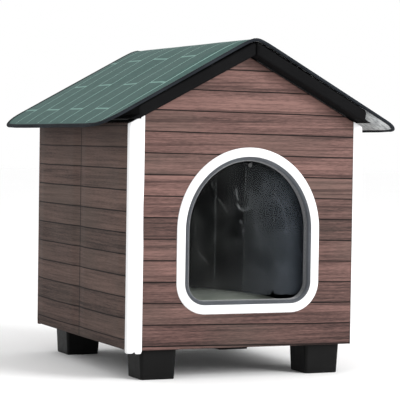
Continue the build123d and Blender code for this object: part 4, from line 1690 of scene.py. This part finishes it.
# %% Four strips
def strip_surface(low, high, y_face, seed):
    """Hanging strip: y is its plane, plus a slow roll, plus ridges along the marks.

    Its lower corners are cut round, and it is still where it joins the head.
    """
    x = np.linspace(low.x, high.x, 60)[None]
    z = np.linspace(high.z, low.z, 200)[:, None]
    freedom = smooth_step((high.z - z) / (40 * mm))
    width = high.x - low.x
    centred = (x - (low.x + high.x) / 2) / width * 2
    roll = 0.8 * mm * centred**2 * freedom * (0.6 + 0.4 * np.sin(z / (26 * mm) + seed))
    slow = 0.4 * mm * (1 + ripples(x, z, seed, 60 * mm)) * freedom
    bottom = smooth_step((z - low.z) / (8 * mm))
    corner = 5 * mm * (1 - np.sqrt(np.clip(1 - (1 - bottom) ** 2, 0, 1)))
    x = (low.x + high.x) / 2 + (x - (low.x + high.x) / 2) * (1 - corner / (width / 2))
    z = z + 0 * x
    ridges = 4 * mm * wear(x, z) * freedom
    y = y_face + roll + slow + ridges
    return np.stack([x, y, z], -1)


for number in (1, 2, 3, 4):
    name = f"door_strip_{number}"
    low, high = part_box(name)
    face = strip_surface(low, high, low.y + 0.1 * mm, number)
    strip = make_piece(
        f"clear_strip_{number}",
        thick_sheet(face, face + [0, strip_skin, 0], rim_finish=1),
        [clear_finish, edge_finish],
        name,
        [name],
    )
    mark_wear_and_glints(strip, low, high)
    size = (high.x - low.x, high.z - low.z)

# %% [markdown]
# The head is the part of the same sheet that isn't slit. It is a plain flat sheet with two
# round upper corners, because it is held to the wall and can't curl.

# %% The uncut head
head_low, head_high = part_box("curtain_header")
head_x = np.linspace(head_low.x, head_high.x, 60)[None]
head_z = np.linspace(head_high.z, head_low.z, 24)[:, None]
rounded = 14 * mm
past_top = np.clip(head_z - (head_high.z - rounded), 0, rounded)
head_trim = rounded - np.sqrt(rounded**2 - past_top**2)
head_x = head_x * (1 - head_trim / head_high.x)
head = np.stack([head_x + 0 * head_z, head_low.y + 0 * head_x + 0 * head_z, head_z + 0 * head_x], -1)
head_piece = make_piece(
    "clear_head",
    thick_sheet(head + [0, 0.2 * mm, 0], head + [0, 0.2 * mm + strip_skin, 0], rim_finish=1),
    [clear_finish, edge_finish],
    "house",
    ["curtain_header"],
)
mark_wear_and_glints(head_piece, head_low, head_high)

# %% [markdown]
# ## The mat
# The mat is a padded cushion. Cloth that is blown up from inside finds the crown, the pulled-in
# sides and the soft corners by itself, so a plain pillow starts a little small and is inflated
# by Blender's cloth. Its filling has moved to the front, behind the sill, and a piping is sewn
# round the outline that the filled cushion really has at its waist.

# %% Pillow shape before filling
mat_low, mat_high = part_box("floor_mat")
mat_half = np.array([mat_high.x - mat_low.x, mat_high.y - mat_low.y]) / 2
mat_centre = np.array([(mat_high.x + mat_low.x) / 2, (mat_high.y + mat_low.y) / 2])
mat_waist = mat_low.z + 17 * mm
mat_draw = 6 * mm
rear_slack = 0.25


def mat_plan(u, v, grow):
    """Plan place of u, v from -1 to 1: sides bow in by mat_draw, corners are eased."""
    eased_u = u * np.sqrt(1 - 0.13 * v**2)
    eased_v = v * np.sqrt(1 - 0.13 * u**2)
    half_x = mat_half[0] + grow - mat_draw * (1 - v**2)
    half_y = mat_half[1] + grow - mat_draw * (1 - u**2)
    return mat_centre[0] + eased_u * half_x, mat_centre[1] + eased_v * half_y


def mat_pillow(grow, crown):
    """Upper and lower skins that meet at the waist seam; the rear half holds less filling."""
    s = np.sin(np.linspace(-np.pi / 2, np.pi / 2, 61))
    u, v = np.meshgrid(s, s, indexing="ij")
    x, y = mat_plan(u, v, grow)
    lift = (1 - u**2) ** 0.75 * (1 - v**2) ** 0.3
    rest = ((1 - u**2) * (1 - v**2)) ** 0.16
    heap = 1 - rear_slack * smooth_step((v + 0.8) / 1.1)
    top = mat_waist + (crown - mat_waist) * lift * heap
    bottom = mat_waist - (mat_waist - mat_low.z) * rest
    upper = grid(np.stack([x, y, top], -1))
    lower = grid(np.stack([x, y, bottom], -1)[:, ::-1])
    return joined(upper, lower)


mat_crown = mat_high.z - 3 * mm
mat = make_piece(
    "padded_mat", mat_pillow(-3 * mm, mat_crown), [mat_cloth], "house", ["floor_mat"]
)

# %% [markdown]
# The cap on how far a point may move keeps the cushion clear of the walls, and one subdivision
# smooths the voxels away.

# %% Filling the mat
swell_cap = 7 * mm
voxel_size = 6 * mm
fill_pressure = 4
last_fill_frame = 20
blown = mat.copy()
blown.data = mat.data.copy()
bpy.context.scene.collection.objects.link(blown)
voxel = blown.modifiers.new("voxel", "REMESH")
voxel.mode = "VOXEL"
voxel.voxel_size = voxel_size
graph = bpy.context.evaluated_depsgraph_get()
remeshed = bpy.data.meshes.new_from_object(blown.evaluated_get(graph))
blown.modifiers.clear()
blown.data = remeshed
start = np.zeros(len(remeshed.vertices) * 3)
remeshed.vertices.foreach_get("co", start)
cloth_modifier = blown.modifiers.new("cloth", "CLOTH")
settings = cloth_modifier.settings
settings.use_pressure = True
settings.uniform_pressure_force = fill_pressure
settings.effector_weights.gravity = 0
for frame_number in range(1, last_fill_frame + 1):
    bpy.context.scene.frame_set(frame_number)
graph = bpy.context.evaluated_depsgraph_get()
filled = bpy.data.meshes.new_from_object(blown.evaluated_get(graph))
end = np.zeros(len(filled.vertices) * 3)
filled.vertices.foreach_get("co", end)
start, end = start.reshape(-1, 3), end.reshape(-1, 3)
move = end - start
size = np.linalg.norm(move, axis=1, keepdims=True)
place = start + move * np.minimum(1, swell_cap / np.maximum(size, 1e-9))
place[:, 2] = np.maximum(place[:, 2], mat_low.z)
low_limit = np.array([mat_low.x, mat_low.y]) - 2 * mm
high_limit = np.array([mat_high.x, mat_high.y]) + 2 * mm
place[:, :2] = np.clip(place[:, :2], low_limit, high_limit)
filled.vertices.foreach_set("co", place.ravel())
filled.materials.clear()
filled.materials.append(mat_cloth)
filled.polygons.foreach_set("use_smooth", np.ones(len(filled.polygons), bool))
bpy.data.objects.remove(blown)
mat.data = filled
finer = mat.modifiers.new("finer", "SUBSURF")
finer.levels = finer.render_levels = 1
bpy.context.scene.frame_set(1)
print("mat filled, top", round(float(place[:, 2].max()), 4))

# %% [markdown]
# The piping can't be drawn on the planned outline, because the filled cushion is larger. It is
# laid round the farthest vertices at the waist, whatever shape the filling gave.


# %% Piping round the mat
def waist_line(mesh, count, reach):
    """Outline at the waist: the farthest vertex in each of count directions, smoothed."""
    place = np.zeros(len(mesh.vertices) * 3)
    mesh.vertices.foreach_get("co", place)
    place = place.reshape(-1, 3)
    near = place[np.abs(place[:, 2] - mat_waist) < reach]
    away = near[:, :2] - mat_centre
    angle = np.arctan2(away[:, 1], away[:, 0])
    sector = ((angle + np.pi) / (2 * np.pi) * count).astype(int) % count
    radius = np.zeros(count)
    np.maximum.at(radius, sector, np.hypot(*away.T))
    heading = (np.arange(count) + 0.5) / count * 2 * np.pi - np.pi
    found = radius > 0
    radius = np.interp(heading, heading[found], radius[found], period=2 * np.pi)
    radius = (np.roll(radius, 1) + radius + np.roll(radius, -1)) / 3
    x, y = mat_centre[0] + radius * np.cos(heading), mat_centre[1] + radius * np.sin(heading)
    return np.stack([x, y, 0 * x + mat_waist], -1)


piping_radius = 1.5 * mm
waist = waist_line(mat.data, 160, 5 * mm)
waist_out = unit((waist - waist.mean(0)) * [1, 1, 0])
around = np.linspace(0, 2 * np.pi, 8, endpoint=False)
round_profile = piping_radius * np.stack([np.cos(around), np.sin(around)], -1)
make_piece(
    "mat_piping",
    sweep(waist, waist_out, np.array([0.0, 0.0, 1.0]), round_profile, closed=True),
    [mat_cloth],
    "house",
)

# %% [markdown]
# ## Light and floor
# A plain pale floor, a bright even sky, and one broad lamp at the right front. More lamps could
# model the form more strongly, but the picture is nearly shadowless, with a darker left wall.

# %% Floor, sky and lamp
floor_size = 30.0
floor_mesh = bpy.data.meshes.new("studio_floor")
corner = floor_size / 2
floor_mesh.from_pydata(
    [(-corner, -corner, 0), (corner, -corner, 0), (corner, corner, 0), (-corner, corner, 0)],
    [],
    [(0, 1, 2, 3)],
)
floor_finish = Finish("studio_floor")
fx, fy, fz = floor_finish.axes()
floor_tone = floor_finish.noise(floor_finish.point(fx, fy, fz), 3.0, 2.0)
floor_finish.set(
    Base_Color=floor_finish.mix(floor_tone, tint(252, 252, 252), tint(255, 255, 255)),
    Roughness=0.9,
    Specular_IOR_Level=0.1,
)
floor_mesh.materials.append(floor_finish.material)
studio_floor = bpy.data.objects.new("studio_floor", floor_mesh)
bpy.context.scene.collection.objects.link(studio_floor)

world = bpy.data.worlds.new("studio")
world.use_nodes = True
world.node_tree.nodes["Background"].inputs["Color"].default_value = (1, 1, 1, 1)
world.node_tree.nodes["Background"].inputs["Strength"].default_value = 1.0
bpy.context.scene.world = world
bpy.context.scene.view_settings.view_transform = "Standard"


def lamp(name, place, target, size, power):
    """A square soft lamp that looks at a point."""
    data = bpy.data.lights.new(name, "AREA")
    data.size = size
    data.energy = power
    made = bpy.data.objects.new(name, data)
    bpy.context.scene.collection.objects.link(made)
    toward = Vector((np.array(target) - place).tolist())
    turn = toward.to_track_quat("-Z", "Y")
    made.matrix_world = Matrix.Translation(place) @ turn.to_matrix().to_4x4()
    return made


lamp("key", (1.9, -2.6, 1.5), (0, 0, 0.2), 1.6, 105)
